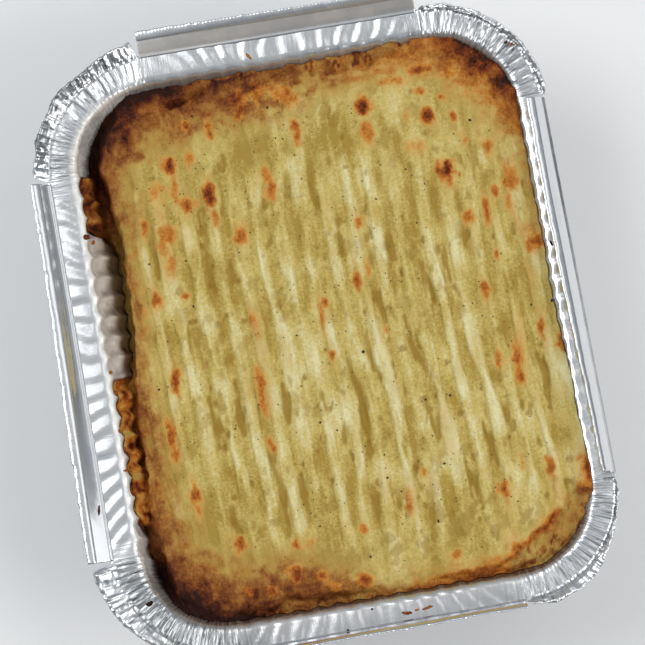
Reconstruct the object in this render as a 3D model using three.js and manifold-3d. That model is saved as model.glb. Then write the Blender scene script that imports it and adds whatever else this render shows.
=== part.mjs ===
// Shepherd's pie baked in its own oblong foil tray, about 6 by 5 inches.
// Millimetres, +Z up, origin at the centre of the tray's flat underside, +Y along its long side.
// The tray has a flat base, fluted walls, crimped corners, a flat ledge and four hemmed lips on
// the straight sides: three of them open outwards and the one on +X is still folded in.
import * as THREE from 'three';
import { mergeVertices } from 'three/addons/utils/BufferGeometryUtils.js';
import Module from 'manifold-3d';

// ---- Driving dimensions of the tray ----
const LEDGE_LENGTH = 147; // outside of the ledge along Y
const LEDGE_WIDTH = 122; // outside of the ledge along X
const LEDGE_HEIGHT = 38; // top of the ledge above the table
const LEDGE_REACH = 6; // width of the flat ledge
const CORNER_RADIUS = 26.4; // outside corner of the ledge
const FOIL = 0.5; // wall, thicker than real foil so that it is a solid
const WALL_DRAFT = 7.6; // how far the wall leans in from the ledge down to the base
const BASE_ROUND = 3.6; // height of the rounding between the base and the wall
const FLUTES_LONG = 19; // flutes on each long side
const FLUTES_SHORT = 14; // flutes on each short side
const FLUTE_DEPTH = 0.95; // how far a flute bulges outwards
const FLUTE_STEPS = 4; // facets across one flute
const PLEATS = 9; // coarse pleats round one corner
const PLEAT_DEPTH = 0.4; // their height at the outer edge

// ---- Driving dimensions of the lips ----
const LIP_LENGTH = 6.4; // from the fold to the hemmed edge
const LIP_THICKNESS = 0.5;
const HEM_WIDTH = 1.9; // rolled edge of the lip
const HEM_THICKNESS = 0.9;
const LIP_END_GAP = 0.4; // a lip stops this far before the corner
const LIP_STEPS = 10; // facets along one lip

// ---- Driving dimensions of the pie ----
const FIT_GAP = 0.35; // between the pie and the foil
const MASH_LEVEL = 35; // mean height of the mashed potato above the table
const MASH_TILT = 0.9; // it stands this much higher at +X than at the middle
const FURROW_PITCH = 5.7; // from one fork furrow to the next
const FURROW_DEPTH = 0.8; // half the height from furrow to ridge
const EDGE_RISE = 0.9; // how far the top climbs the wall on +X and +Y
const EDGE_DROP = 1.4; // how far it rounds down on -X and -Y
const EDGE_WIDTH = 4; // width of that climb and of the rounding
const GAP_FLOOR = 22; // height of the baked-back gap along the -X wall
const GAP_WIDTH = 5.3; // from the wall to the foot of the mash
const GAP_FLANK = 1.8; // width of the mash's steep side
const GAP_LENGTH = 88; // along Y
const GAP_FADE = 9; // each end of the gap fades out over this length
const LEAN_WIDTH = 9; // the sunk edge is drawn in with the sloping wall over this width
const PIE_COLUMNS = 74; // facets across the top, along X
const PIE_ROWS = 22; // and along Y

// ---- Heights and insets worked out from them ----
const wallTop = LEDGE_HEIGHT - 2.5;
const wallTopInset = LEDGE_REACH + 1.2;
const wallFoot = FOIL + BASE_ROUND;
const wallFootInset = wallTopInset + WALL_DRAFT * 0.88;
const baseInset = wallFootInset + BASE_ROUND * 0.9;
const coreX = LEDGE_WIDTH / 2 - CORNER_RADIUS; // centre of the +X +Y corner
const coreY = LEDGE_LENGTH / 2 - CORNER_RADIUS;

const mix = (a, b, t) => a + (b - a) * t;
const clamp01 = (t) => Math.min(1, Math.max(0, t));
const smooth = (t) => clamp01(t) ** 2 * (3 - 2 * clamp01(t));

// The four corners, anticlockwise from +X +Y. On +X the crimped edge stands up, on -X it lies
// flatter: out and up are how far it reaches beyond the ledge.
const CORNERS = [
  { x: coreX, y: coreY, out: 2.9, up: 4.4 },
  { x: -coreX, y: coreY, out: 5.4, up: 1.5 },
  { x: -coreX, y: -coreY, out: 5.4, up: 1.3 },
  { x: coreX, y: -coreY, out: 2.9, up: 4.2 },
];

// The four sides, anticlockwise from +X. tilt gives the lip's angle above the horizontal, in
// degrees, from one end to the other: over 90 it leans in over the ledge.
const SIDES = [
  { run: 2 * coreY, flutes: FLUTES_LONG, tilt: (t) => mix(122, 138, smooth(t * 1.6)) },
  { run: 2 * coreX, flutes: FLUTES_SHORT, tilt: () => 43 },
  { run: 2 * coreY, flutes: FLUTES_LONG, tilt: (t) => mix(60, 14, t) },
  { run: 2 * coreX, flutes: FLUTES_SHORT, tilt: () => 66 },
];

// A station is a place on the outside of the ledge: its point, its outward normal, how far
// through a flute it is (0 at a cusp, 1 at the crown), and its pleat and corner reach.
function sideStations(index) {
  const side = SIDES[index];
  const angle = (index * Math.PI) / 2;
  const [nx, ny] = [Math.cos(angle), Math.sin(angle)];
  const half = index % 2 === 0 ? LEDGE_WIDTH / 2 : LEDGE_LENGTH / 2;
  const count = side.flutes * FLUTE_STEPS;
  return Array.from({ length: count }, (_, k) => {
    const along = (k / count - 0.5) * side.run;
    const crown = Math.sin((Math.PI * (k % FLUTE_STEPS)) / FLUTE_STEPS) ** 0.8;
    return {
      x: nx * half - ny * along,
      y: ny * half + nx * along,
      nx,
      ny,
      crown,
      coarse: k % FLUTE_STEPS === 0,
      pleat: 0,
      out: 0.35,
      up: 0.1,
    };
  });
}

function cornerStations(index) {
  const corner = CORNERS[index];
  const count = 2 * PLEATS;
  return Array.from({ length: count }, (_, k) => {
    const turn = k === 0 ? 0 : (k - 0.85) / (count - 1.7);
    const angle = ((index + turn) * Math.PI) / 2;
    const [nx, ny] = [Math.cos(angle), Math.sin(angle)];
    const ragged = Math.sin(k * 7.3 + index * 2.1);
    const open = k === 0 ? 0 : 1;
    const pleated = k > 1 && k < count - 1 ? 1 : 0;
    return {
      x: corner.x + nx * CORNER_RADIUS,
      y: corner.y + ny * CORNER_RADIUS,
      nx,
      ny,
      crown: pleated * (0.3 + 0.3 * (k % 2)),
      coarse: true,
      pleat: pleated * (k % 2 === 0 ? -1 : 1),
      out: mix(0.35, corner.out + 0.35 * ragged, open),
      up: mix(0.1, corner.up + 0.25 * ragged, open),
    };
  });
}

const stations = [0, 1, 2, 3].flatMap((i) => [...sideStations(i), ...cornerStations(i)]);

// Rings of the tray from the middle of the base, up the inside, over the rim and back down the
// outside: inset from the outside of the ledge, height, shares of the flute and pleat depths, the
// share of the corner reach if any, and fine where every station is used.
function trayProfile() {
  const t = FOIL;
  const inside = [
    { inset: baseInset, z: t, flute: 0, pleat: 0 },
    { inset: mix(wallFootInset, baseInset, 0.3), z: t + 0.32 * BASE_ROUND, flute: 0.1, pleat: 0 },
    { inset: wallFootInset, z: wallFoot, flute: 0.5, pleat: 0.3, fine: true },
    { inset: wallTopInset, z: wallTop, flute: 1, pleat: 0.5, fine: true },
    { inset: LEDGE_REACH + 0.25, z: LEDGE_HEIGHT - 0.75, flute: 0.75, pleat: 0.4, fine: true },
    { inset: LEDGE_REACH - 0.6, z: LEDGE_HEIGHT, flute: 0.3, pleat: 0.3, fine: true },
    { inset: 0, z: LEDGE_HEIGHT, flute: 0, pleat: 0.5 },
    { inset: 0, z: LEDGE_HEIGHT, flute: 0, pleat: 1, reach: 1 },
  ];
  const drop = [0, 0.1, 0.1, 0.1, 0.3, t, t, t];
  const shift = [0, t * 0.8, t, t, t, 0.35, 0, 0];
  const outside = inside.map((ring, k) => ({
    ...ring,
    inset: ring.inset - shift[k],
    z: k === 0 ? 0 : ring.z - (k === 1 ? 0.5 * t : drop[k]),
  }));
  return [...inside, ...outside.reverse()];
}

// A pleat waves the wall in and out, and the rim up and down.
function ringPoints(ring) {
  const onRim = ring.z > wallTop;
  const reach = ring.reach ?? 0;
  return stations
    .filter((s) => ring.fine || s.coarse)
    .map((s) => {
      const wave = ring.pleat * PLEAT_DEPTH * s.pleat;
      const bulge = ring.flute * FLUTE_DEPTH * s.crown + reach * s.out;
      const inset = ring.inset - bulge + (onRim ? 0 : wave);
      const lift = onRim ? wave + reach * s.up : 0;
      return { x: s.x - s.nx * inset, y: s.y - s.ny * inset, z: ring.z + lift, station: s };
    });
}

// Joins two rings of points that go round the same way, each step taking the ring that lags.
function bandFaces(faces, lower, upper) {
  const order = new Map(stations.map((s, k) => [s, k]));
  const place = (ring, k) => (k === ring.length ? stations.length : order.get(ring[k].station));
  let [i, j] = [0, 0];
  while (i < lower.length || j < upper.length) {
    const a = lower[i % lower.length].id;
    const b = upper[j % upper.length].id;
    const nextLower = i < lower.length ? place(lower, i + 1) : Infinity;
    const nextUpper = j < upper.length ? place(upper, j + 1) : Infinity;
    if (nextUpper <= nextLower) {
      j += 1;
      faces.push(a, b, upper[j % upper.length].id);
    } else {
      i += 1;
      faces.push(a, b, lower[i % lower.length].id);
    }
  }
}

function meshGeometry(points, faces) {
  const geometry = new THREE.BufferGeometry();
  const flat = points.flatMap((p) => [p.x, p.y, p.z]);
  geometry.setAttribute('position', new THREE.Float32BufferAttribute(flat, 3));
  geometry.setIndex(faces);
  return geometry;
}

function trayShell() {
  const points = [{ x: 0, y: 0, z: FOIL }];
  const faces = [];
  const rings = trayProfile().map(ringPoints);
  for (const ring of rings) {
    for (const point of ring) {
      point.id = points.length;
      points.push(point);
    }
  }
  const foot = points.length;
  points.push({ x: 0, y: 0, z: 0 });
  const first = rings[0];
  const last = rings[rings.length - 1];
  first.forEach((p, k) => faces.push(0, p.id, first[(k + 1) % first.length].id));
  for (let k = 1; k < rings.length; k += 1) {
    bandFaces(faces, rings[k - 1], rings[k]);
  }
  last.forEach((p, k) => faces.push(foot, last[(k + 1) % last.length].id, p.id));
  return meshGeometry(points, faces);
}

// Section of a lip: along it from the fold, and square to it.
function lipSection() {
  const thin = LIP_THICKNESS / 2;
  const thick = HEM_THICKNESS / 2;
  const hem = LIP_LENGTH - HEM_WIDTH;
  return [
    [-0.3, -thin],
    [hem, -thin],
    [hem + 0.3, -thick],
    [LIP_LENGTH, -thick],
    [LIP_LENGTH, thick],
    [hem + 0.3, thick],
    [hem, thin],
    [-0.3, thin],
  ];
}

// A lip is its section carried along one side, tilted at each step by the side's tilt.
function lipGeometry(index) {
  const side = SIDES[index];
  const angle = (index * Math.PI) / 2;
  const [nx, ny] = [Math.cos(angle), Math.sin(angle)];
  const half = index % 2 === 0 ? LEDGE_WIDTH / 2 : LEDGE_LENGTH / 2;
  const section = lipSection();
  const count = section.length;
  const points = [];
  for (let k = 0; k <= LIP_STEPS; k += 1) {
    const t = k / LIP_STEPS;
    const along = (t - 0.5) * (side.run - 2 * LIP_END_GAP);
    const tilt = THREE.MathUtils.degToRad(side.tilt(t));
    for (const [a, b] of section) {
      const out = half + a * Math.cos(tilt) - b * Math.sin(tilt);
      const z = LEDGE_HEIGHT - FOIL / 2 + a * Math.sin(tilt) + b * Math.cos(tilt);
      points.push({ x: nx * out - ny * along, y: ny * out + nx * along, z });
    }
  }
  const faces = [];
  for (let k = 0; k < LIP_STEPS; k += 1) {
    for (let m = 0; m < count; m += 1) {
      const a = k * count + m;
      const b = k * count + ((m + 1) % count);
      faces.push(a, b + count, b, a, a + count, b + count);
    }
  }
  const end = LIP_STEPS * count;
  const caps = THREE.ShapeUtils.triangulateShape(section.map((p) => new THREE.Vector2(...p)), []);
  for (const [a, b, c] of caps) {
    faces.push(a, b, c, end + a, end + c, end + b);
  }
  return meshGeometry(points, faces);
}

// ---- Joining with manifold-3d ----
const wasm = await Module();
wasm.setup();

function toSolid(geometry) {
  const merged = mergeVertices(geometry, 1e-5);
  return new wasm.Manifold(
    new wasm.Mesh({
      numProp: 3,
      vertProperties: new Float32Array(merged.attributes.position.array),
      triVerts: new Uint32Array(merged.index.array),
    }),
  );
}

function toGeometry(solid) {
  const mesh = solid.getMesh();
  const geometry = new THREE.BufferGeometry();
  geometry.setAttribute('position', new THREE.Float32BufferAttribute(mesh.vertProperties, 3));
  geometry.setIndex(Array.from(mesh.triVerts));
  return geometry;
}

function foilTray() {
  const lips = SIDES.map((_, index) => toSolid(lipGeometry(index)));
  const joined = lips.reduce((whole, lip) => whole.add(lip), toSolid(trayShell()));
  return toGeometry(joined);
}

// ---- The pie ----
// Inset of the wall's inner cusps at a height, and the same for the pie's own side.
const wallInset = (z) => mix(wallFootInset, wallTopInset, (z - wallFoot) / (wallTop - wallFoot));
const sideInset = wallInset(MASH_LEVEL) + FIT_GAP;
const sideRadius = CORNER_RADIUS - sideInset;
const halfX = LEDGE_WIDTH / 2 - sideInset;

// How far the pie reaches along Y at a place across it.
function halfLength(x) {
  const beyond = Math.max(0, Math.abs(x) - coreX);
  return coreY + Math.sqrt(Math.max(0, sideRadius ** 2 - beyond ** 2));
}

// Distance in from the pie's side, and the direction out to it.
function edgeOf(x, y) {
  const dx = Math.max(0, Math.abs(x) - coreX);
  const dy = Math.max(0, Math.abs(y) - coreY);
  const reach = Math.hypot(dx, dy);
  if (reach > 0) {
    const inset = sideRadius - reach;
    return { inset, nx: (Math.sign(x) * dx) / reach, ny: (Math.sign(y) * dy) / reach };
  }
  const flatX = sideRadius + coreX - Math.abs(x);
  const flatY = sideRadius + coreY - Math.abs(y);
  return flatX < flatY
    ? { inset: flatX, nx: Math.sign(x), ny: 0 }
    : { inset: flatY, nx: 0, ny: Math.sign(y) };
}

// Fork furrows: ridges along Y that wander a little and die out towards both ends.
function furrows(x, y) {
  const wander = 1.3 * Math.sin(y / 21 + 0.6) + 0.7 * Math.sin(y / 9 + x / 14);
  const phase = (2 * Math.PI * (x + wander)) / FURROW_PITCH;
  const calm = 1 - 0.75 * smooth((Math.abs(y) - 42) / 16);
  const uneven = 0.75 + 0.25 * Math.sin(x / 7 + y / 16);
  return FURROW_DEPTH * calm * uneven * Math.cos(phase);
}

// How deep the gap along -X is at a place along it, from 0 to 1.
const gapDepth = (y) => 1 - smooth((Math.abs(y) - GAP_LENGTH / 2) / GAP_FADE);

// Height of the top: level, gentle swells, furrows, the edge along the wall and the gap.
function topHeight(x, y) {
  const swell = 0.4 * Math.sin(x / 17 + 1) * Math.cos(y / 23 - 0.4);
  const level = MASH_LEVEL + (MASH_TILT * x) / halfX + swell + furrows(x, y);
  const { inset, nx, ny } = edgeOf(x, y);
  const climb = EDGE_RISE * Math.max(nx, ny, 0) + EDGE_DROP * Math.min(nx, ny, 0);
  const edge = climb * (1 - smooth(inset / EDGE_WIDTH));
  const across = 1 - smooth((x + halfX - GAP_WIDTH) / GAP_FLANK);
  return mix(level + edge, GAP_FLOOR, gapDepth(y) * across);
}

// The top is a grid whose columns run the length of the pie at each place across it. Along the
// gap its edge lies low, and is drawn in with the sloping wall.
function topPoint(column, row) {
  const x = mix(-halfX, halfX, column / PIE_COLUMNS);
  const y = mix(-1, 1, row / PIE_ROWS) * halfLength(x);
  const z = topHeight(x, y);
  const sunk = (wallInset(GAP_FLOOR) - wallInset(MASH_LEVEL)) * gapDepth(y);
  const lean = sunk * Math.max(0, 1 - (x + halfX) / LEAN_WIDTH);
  return { x: x + lean, y, z };
}

// Side rings under the rim of the top: height, and inset of the wall there.
const PIE_SIDE = [
  { z: wallFoot + 0.4, inset: wallInset(wallFoot + 0.4) + FIT_GAP },
  { z: FOIL + 0.32 * BASE_ROUND + FIT_GAP, inset: mix(wallFootInset, baseInset, 0.3) + 0.5 },
  { z: FOIL + FIT_GAP, inset: baseInset + 0.3 },
];

function pieGeometry() {
  const points = [];
  const faces = [];
  const id = (column, row) => column * (PIE_ROWS + 1) + row;
  for (let column = 0; column <= PIE_COLUMNS; column += 1) {
    for (let row = 0; row <= PIE_ROWS; row += 1) {
      points.push(topPoint(column, row));
    }
  }
  for (let column = 0; column < PIE_COLUMNS; column += 1) {
    for (let row = 0; row < PIE_ROWS; row += 1) {
      const [a, b] = [id(column, row), id(column + 1, row)];
      faces.push(a, b, b + 1, a, b + 1, a + 1);
    }
  }
  const rim = [];
  for (let k = 0; k < PIE_COLUMNS; k += 1) rim.push(id(k, 0));
  for (let k = 0; k < PIE_ROWS; k += 1) rim.push(id(PIE_COLUMNS, k));
  for (let k = PIE_COLUMNS; k > 0; k -= 1) rim.push(id(k, PIE_ROWS));
  for (let k = PIE_ROWS; k > 0; k -= 1) rim.push(id(0, k));
  const nominal = rim.map((k) => {
    const column = Math.floor(k / (PIE_ROWS + 1));
    const x = mix(-halfX, halfX, column / PIE_COLUMNS);
    const y = mix(-1, 1, (k % (PIE_ROWS + 1)) / PIE_ROWS) * halfLength(x);
    return { x, y, ...edgeOf(x, y) };
  });
  let above = rim;
  for (const ring of PIE_SIDE) {
    const extra = ring.inset - sideInset;
    const below = nominal.map((p) => {
      points.push({ x: p.x - p.nx * extra, y: p.y - p.ny * extra, z: ring.z });
      return points.length - 1;
    });
    for (let k = 0; k < rim.length; k += 1) {
      const next = (k + 1) % rim.length;
      faces.push(above[k], below[k], below[next], above[k], below[next], above[next]);
    }
    above = below;
  }
  points.push({ x: 0, y: 0, z: PIE_SIDE[2].z });
  const centre = points.length - 1;
  for (let k = 0; k < rim.length; k += 1) {
    faces.push(centre, above[(k + 1) % rim.length], above[k]);
  }
  return meshGeometry(points, faces);
}

// ---- The model ----
const FOIL_FINISH = { color: 0xc9cdd0, roughness: 0.28, metalness: 1 };
const MASH_FINISH = { color: 0xcdb878, roughness: 0.6, metalness: 0 };

function part(name, geometry, finish) {
  const mesh = new THREE.Mesh(geometry, new THREE.MeshStandardMaterial(finish));
  mesh.name = name;
  return mesh;
}

const model = new THREE.Group();
model.add(part('foil_tray', foilTray(), FOIL_FINISH));
model.add(part('mash_topped_pie', pieGeometry(), MASH_FINISH));

export default model;
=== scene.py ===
"""Shepherd's pie baked in its own oblong foil tray.

The tray is fluted foil with crimped corners, a flat ledge and four hemmed lips. The pie is
fork-furrowed mashed potato, browned on its ridges and scorched at its edges.
Shapes are worked out in millimetres and put into the meshes in metres.
"""

import math
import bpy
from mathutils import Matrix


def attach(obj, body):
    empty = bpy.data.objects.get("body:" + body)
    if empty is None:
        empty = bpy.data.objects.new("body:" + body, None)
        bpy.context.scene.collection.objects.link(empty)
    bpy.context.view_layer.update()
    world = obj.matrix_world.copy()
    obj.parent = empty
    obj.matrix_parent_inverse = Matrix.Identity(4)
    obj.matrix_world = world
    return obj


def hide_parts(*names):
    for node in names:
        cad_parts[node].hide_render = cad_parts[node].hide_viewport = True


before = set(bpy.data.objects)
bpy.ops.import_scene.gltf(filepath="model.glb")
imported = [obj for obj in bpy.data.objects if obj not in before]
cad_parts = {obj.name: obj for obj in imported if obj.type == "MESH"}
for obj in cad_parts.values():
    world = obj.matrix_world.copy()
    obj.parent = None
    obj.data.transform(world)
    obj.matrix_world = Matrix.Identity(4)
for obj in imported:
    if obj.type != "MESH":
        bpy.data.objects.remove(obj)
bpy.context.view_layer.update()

from types import SimpleNamespace

import bpy
import numpy as np
from mathutils import Matrix, Vector

MM = 0.001

bl_info = {
    "name": "Foil tray pie",
    "version": (1, 0, 0),
    "blender": (4, 5, 0),
    "location": "3D View > Sidebar > Foil pie",
    "description": "Builds a baked mash-topped pie in its fluted foil tray",
    "category": "Object",
}


def srgb(red, green, blue):
    """A display colour, each part from 0 to 255, as the linear colour that shaders use."""
    return tuple(
        c / 12.92 if c <= 0.04045 else ((c + 0.055) / 1.055) ** 2.4
        for c in (red / 255, green / 255, blue / 255)
    )


def length(name, description, millimetres):
    """A size in metres for a property group, given in millimetres."""
    return bpy.props.FloatProperty(
        name=name, description=description, default=millimetres * MM, unit="LENGTH", precision=5
    )


def colour(name, description, *display):
    """A colour for a property group, given as a display colour from 0 to 255."""
    return bpy.props.FloatVectorProperty(
        name=name, description=description, default=srgb(*display), size=3, subtype="COLOR",
        min=0, max=1,
    )


class TraySizes(bpy.types.PropertyGroup):
    """Sizes of the foil tray."""

    ledge_length: length("Ledge length", "Outside of the ledge along Y", 147)
    ledge_width: length("Ledge width", "Outside of the ledge along X", 122)
    ledge_height: length("Ledge height", "Top of the ledge above the table", 38)
    ledge_reach: length("Ledge reach", "Width of the flat ledge", 6)
    corner_radius: length("Corner radius", "Outside corner of the ledge", 26.4)
    wall_draft: length("Wall draft", "How far the wall leans in down to the base", 7.6)
    base_round: length("Base rounding", "Height of the rounding at the foot of the wall", 3.6)
    flute_depth: length("Flute depth", "How far a flute bulges outwards", 0.95)
    foil: length("Foil", "Thickness of the foil", 0.12)
    lip_length: length("Lip length", "From the fold to the hemmed edge", 6.4)
    hem_width: length("Hem width", "Width of the rolled edge of a lip", 2.4)
    hem_thickness: length("Hem thickness", "Thickness of the rolled edge", 0.9)
    flutes_long: bpy.props.IntProperty(
        name="Flutes, long side", description="Flutes on each long side", default=19, min=4
    )
    flutes_short: bpy.props.IntProperty(
        name="Flutes, short side", description="Flutes on each short side", default=14, min=4
    )


class MashSizes(bpy.types.PropertyGroup):
    """Sizes of the mashed potato top."""

    level: length("Level", "Mean height of the mash above the table", 35)
    tilt: length("Tilt", "How much higher it stands at +X than in the middle", 1.1)
    furrow_pitch: length("Furrow pitch", "From one fork furrow to the next", 5.7)
    furrow_depth: length("Furrow depth", "Half the height from furrow to ridge", 0.8)
    edge_rise: length("Edge rise", "How far the top climbs the wall on +X and +Y", 1.5)
    edge_drop: length("Edge drop", "How far it rounds down on -X and -Y", 1.4)
    edge_width: length("Edge width", "Width of that climb and rounding", 4)


class Finishes(bpy.types.PropertyGroup):
    """Colours of the foil and of the food."""

    foil: colour("Foil", "Bright rolled foil", 234, 235, 237)
    # Painted shade: the foil colour that crimped creases, the darkened ledges and the crimped edge
    # at -X +Y are mixed towards.
    shadow: colour("Crease", "Foil in the depth of its creases", 128, 132, 134)
    # Also the colour of the painted shade on the flutes beside the gap.
    char: colour("Burnt juices", "Dark brown burnt on to the foil", 92, 66, 46)
    film: colour("Baked film", "Grease baked on to the foil", 246, 241, 230)
    # Furrow, mash and ridge are ramped by the crest mask: partly the mash's own tones, partly
    # painted shade in the furrows and painted highlight on the ridges.
    furrow: colour("Furrow", "Mash in the furrows", 176, 146, 64)
    mash: colour("Mash", "Pale mash between furrow and ridge", 213, 190, 110)
    ridge: colour("Ridge", "Cream mash on the ridges", 241, 231, 178)
    wet: colour("Moist mash", "Translucent ochre patches", 150, 114, 36)
    gold: colour("Golden", "First colour of a browned spot", 220, 172, 92)
    orange: colour("Orange", "Second colour of a browned spot", 206, 132, 50)
    russet: colour("Russet", "Third colour of a browned spot", 146, 66, 20)
    scorch: colour("Scorched", "Darkest crust", 46, 19, 9)
    tan: colour("Tan", "First colour of the crust at the edges", 186, 140, 68)
    crust: colour("Crust", "Second colour of the crust", 146, 86, 36)
    deep: colour("Deep crust", "Third colour of the crust", 92, 42, 20)
    pepper: colour("Pepper", "Ground black pepper", 62, 50, 30)


# ---- Small helpers for arrays ----


def millimetres(group):
    """A property group's lengths in millimetres and its other values as they are."""
    values = {}
    for prop in group.bl_rna.properties:
        if prop.identifier not in ("rna_type", "name"):
            value = getattr(group, prop.identifier)
            values[prop.identifier] = value / MM if prop.type == "FLOAT" else value
    return SimpleNamespace(**values)


def mix(a, b, t):
    """a where t is 0, b where it is 1, and by a straight line between."""
    return a + (b - a) * t


def smooth(t):
    """0 below 0, 1 above 1, and 3t^2 - 2t^3 between."""
    t = np.clip(t, 0, 1)
    return t * t * (3 - 2 * t)


def bump(t):
    """A bell of width 1 and height 1: exp(-t^2)."""
    return np.exp(-np.square(t))


LATTICE = 128  # cells before the noise and the rounded cells repeat


def noise(x, y, seed):
    """Smooth random field from -1 to 1: values drawn on a square lattice of cell 1, joined by
    the smooth step along both axes. Each effect has a seed, and so a field, of its own."""
    lattice = np.random.default_rng(seed).uniform(-1, 1, (LATTICE, LATTICE))
    x, y = np.broadcast_arrays(np.asarray(x, float), np.asarray(y, float))
    i, j = np.floor(x).astype(int), np.floor(y).astype(int)
    u, v = smooth(x - i), smooth(y - j)
    left, right, near, far = (k % LATTICE for k in (i, i + 1, j, j + 1))
    low = mix(lattice[left, near], lattice[right, near], u)
    high = mix(lattice[left, far], lattice[right, far], u)
    return mix(low, high, v)


def cells(x, y, seed):
    """Rounded cells about points drawn one to each square of side 1: how deep a place lies in
    its cell, from 0 at the edge, and the cell's own number from 0 to 1."""
    drawn = np.random.default_rng(seed).uniform(0, 1, (LATTICE, LATTICE, 3))
    i, j = np.floor(x).astype(int), np.floor(y).astype(int)
    nearest, second, number = np.full((3, *x.shape), np.inf)
    for di in (-1, 0, 1):
        for dj in (-1, 0, 1):
            cell = drawn[(i + di) % LATTICE, (j + dj) % LATTICE]
            away = np.hypot(i + di + cell[..., 0] - x, j + dj + cell[..., 1] - y)
            closer = away < nearest
            second = np.where(closer, nearest, np.minimum(second, away))
            number = np.where(closer, cell[..., 2], number)
            nearest = np.minimum(nearest, away)
    return second - nearest, number


def layered(x, y, seed, layers=3):
    """Noise plus finer layers of it, each turned, twice as fine and half as high."""
    total = 0
    for k in range(layers):
        total = total + noise(x * 2**k + 0.31 * y * k, y * 2**k - 0.31 * x * k, seed + k) / 2**k
    return total


# ---- Mesh helpers ----


def grid_quads(rows, columns, closed=False):
    """Quads of a grid of rows by columns points. Closed joins the last column to the first."""
    r, c = np.meshgrid(np.arange(rows - 1), np.arange(columns - (not closed)), indexing="ij")
    n = (c + 1) % columns
    corners = [r * columns + c, r * columns + n, (r + 1) * columns + n, (r + 1) * columns + c]
    return np.stack(corners, axis=-1).reshape(-1, 4)


def signed_volume(points, quads, others):
    """Volume inside the faces, positive if they point outwards."""
    triangles = [quads[:, [0, 1, 2]], quads[:, [0, 2, 3]]] + [
        np.array([(f[0], f[k], f[k + 1]) for f in others for k in range(1, len(f) - 1)], int)
        .reshape(-1, 3)
    ]
    a, b, c = (points[np.concatenate(triangles)[:, k]] for k in range(3))
    return np.sum(a * np.cross(b, c)) / 6


def make_object(name, points, quads, others=(), masks=None, solid=True):
    """A smooth mesh object at the origin from points in millimetres, an array of quads and a
    list of other faces. masks are kept as attributes, each one value for every point or an
    array of them. A solid's faces are turned outwards."""
    quads = np.asarray(quads, int).reshape(-1, 4)
    others = [list(face) for face in others]
    if solid and signed_volume(points, quads, others) < 0:
        quads = quads[:, ::-1]
        others = [face[::-1] for face in others]
    mesh = bpy.data.meshes.new(name)
    extra = [index for face in others for index in face]
    counts = np.array([4] * len(quads) + [len(face) for face in others])
    corners = np.concatenate([quads.ravel(), np.array(extra, int)])
    mesh.vertices.add(len(points))
    mesh.vertices.foreach_set("co", (np.asarray(points) * MM).astype(np.float32).ravel())
    mesh.loops.add(len(corners))
    mesh.loops.foreach_set("vertex_index", corners.astype(np.int32))
    mesh.polygons.add(len(counts))
    starts = np.concatenate([[0], np.cumsum(counts)[:-1]])
    mesh.polygons.foreach_set("loop_start", starts.astype(np.int32))
    mesh.update(calc_edges=True)
    mesh.shade_smooth()
    for key, values in (masks or {}).items():
        attribute = mesh.attributes.new(key, "FLOAT", "POINT")
        attribute.data.foreach_set("value", np.full(len(points), values, np.float32))
    made = bpy.data.objects.new(name, mesh)
    bpy.context.scene.collection.objects.link(made)
    return made


def wrapped_uv(made, quads, columns, along, heights):
    """A UV map in metres on a band's quads, whose last column runs on past the first. along is
    given for each column and heights for each row, in millimetres."""
    layer = made.data.uv_layers.new(name="Round and up")
    flat = np.zeros((len(made.data.loops), 2), np.float32)
    column, row = quads[:, 0] % columns, quads[:, 0] // columns
    low, high = along[column], along[column + 1]
    under, over = heights[row], heights[row + 1]
    flat[:quads.size, 0] = np.stack([low, low, high, high], axis=1).ravel() * MM
    flat[:quads.size, 1] = np.stack([under, over, over, under], axis=1).ravel() * MM
    layer.data.foreach_set("uv", flat.ravel())


def thicken(made, thickness, name):
    """Gives a surface its thickness on its outer side, which takes the object's second
    material."""
    solid = made.modifiers.new(name, "SOLIDIFY")
    solid.thickness = thickness * MM
    solid.offset = -1
    solid.material_offset = 1


# ---- The tray's outline: four straight sides and four quarter circles ----

# Places round it are given as a zone: 0 to 1 is the +X side, 1 to 2 the corner at +X +Y, 2 to 3
# the +Y side, and so on anticlockwise up to 8.
SIDE_STEPS = 8  # points across one flute
CORNER_STEPS = 168  # points round one corner
SPLIT_HEIGHT = 20  # the tray's mesh is made in two, split at this height
FLUTE_LEAN = 0.14  # how far a flute of the -X side leans along it for each millimetre down
# Round each corner, anticlockwise from +X +Y: how far the crimped edge reaches out beyond the
# ledge at seven even steps, and how far up.
CORNER_OUT = (
    (1.1, 1.2, 1.4, 1.5, 1.5, 1.4, 1.3),
    (4.2, 3.2, 2.9, 3.4, 3.4, 3.3, 3.6),
    (5.3, 5.2, 4.5, 3.6, 3.4, 3.2, 3),
    (0.9, 2.6, 3.2, 2, 0.8, 0.3, 0.2),
)
CORNER_UP = (0.7, 1.5, 1.3, 1.8)


CAD_FOIL = 0.5  # the foil's thickness in the solid, which the wall's foot stands on
CORNER_BLEND = 1.5  # over which a corner's creases begin and end
WALL_SHARE = 0.88  # of the draft, the rest being in the rounding at the wall's foot
FOOT_WIDTH = 0.9  # of that rounding, as a share of its height
FOOT_BEND = (0.3, 0.32)  # a point on it, as shares of its width and height
# The bend from the wall up to the ledge: how far in beyond the ledge's reach, and how far down.
SHOULDER = ((1.2, 2.5), (0.35, 0.75), (-0.5, 0))


def side_normal(index):
    """The outward direction of a side, anticlockwise from +X."""
    angle = index * math.pi / 2
    return round(math.cos(angle)), round(math.sin(angle))


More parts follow.
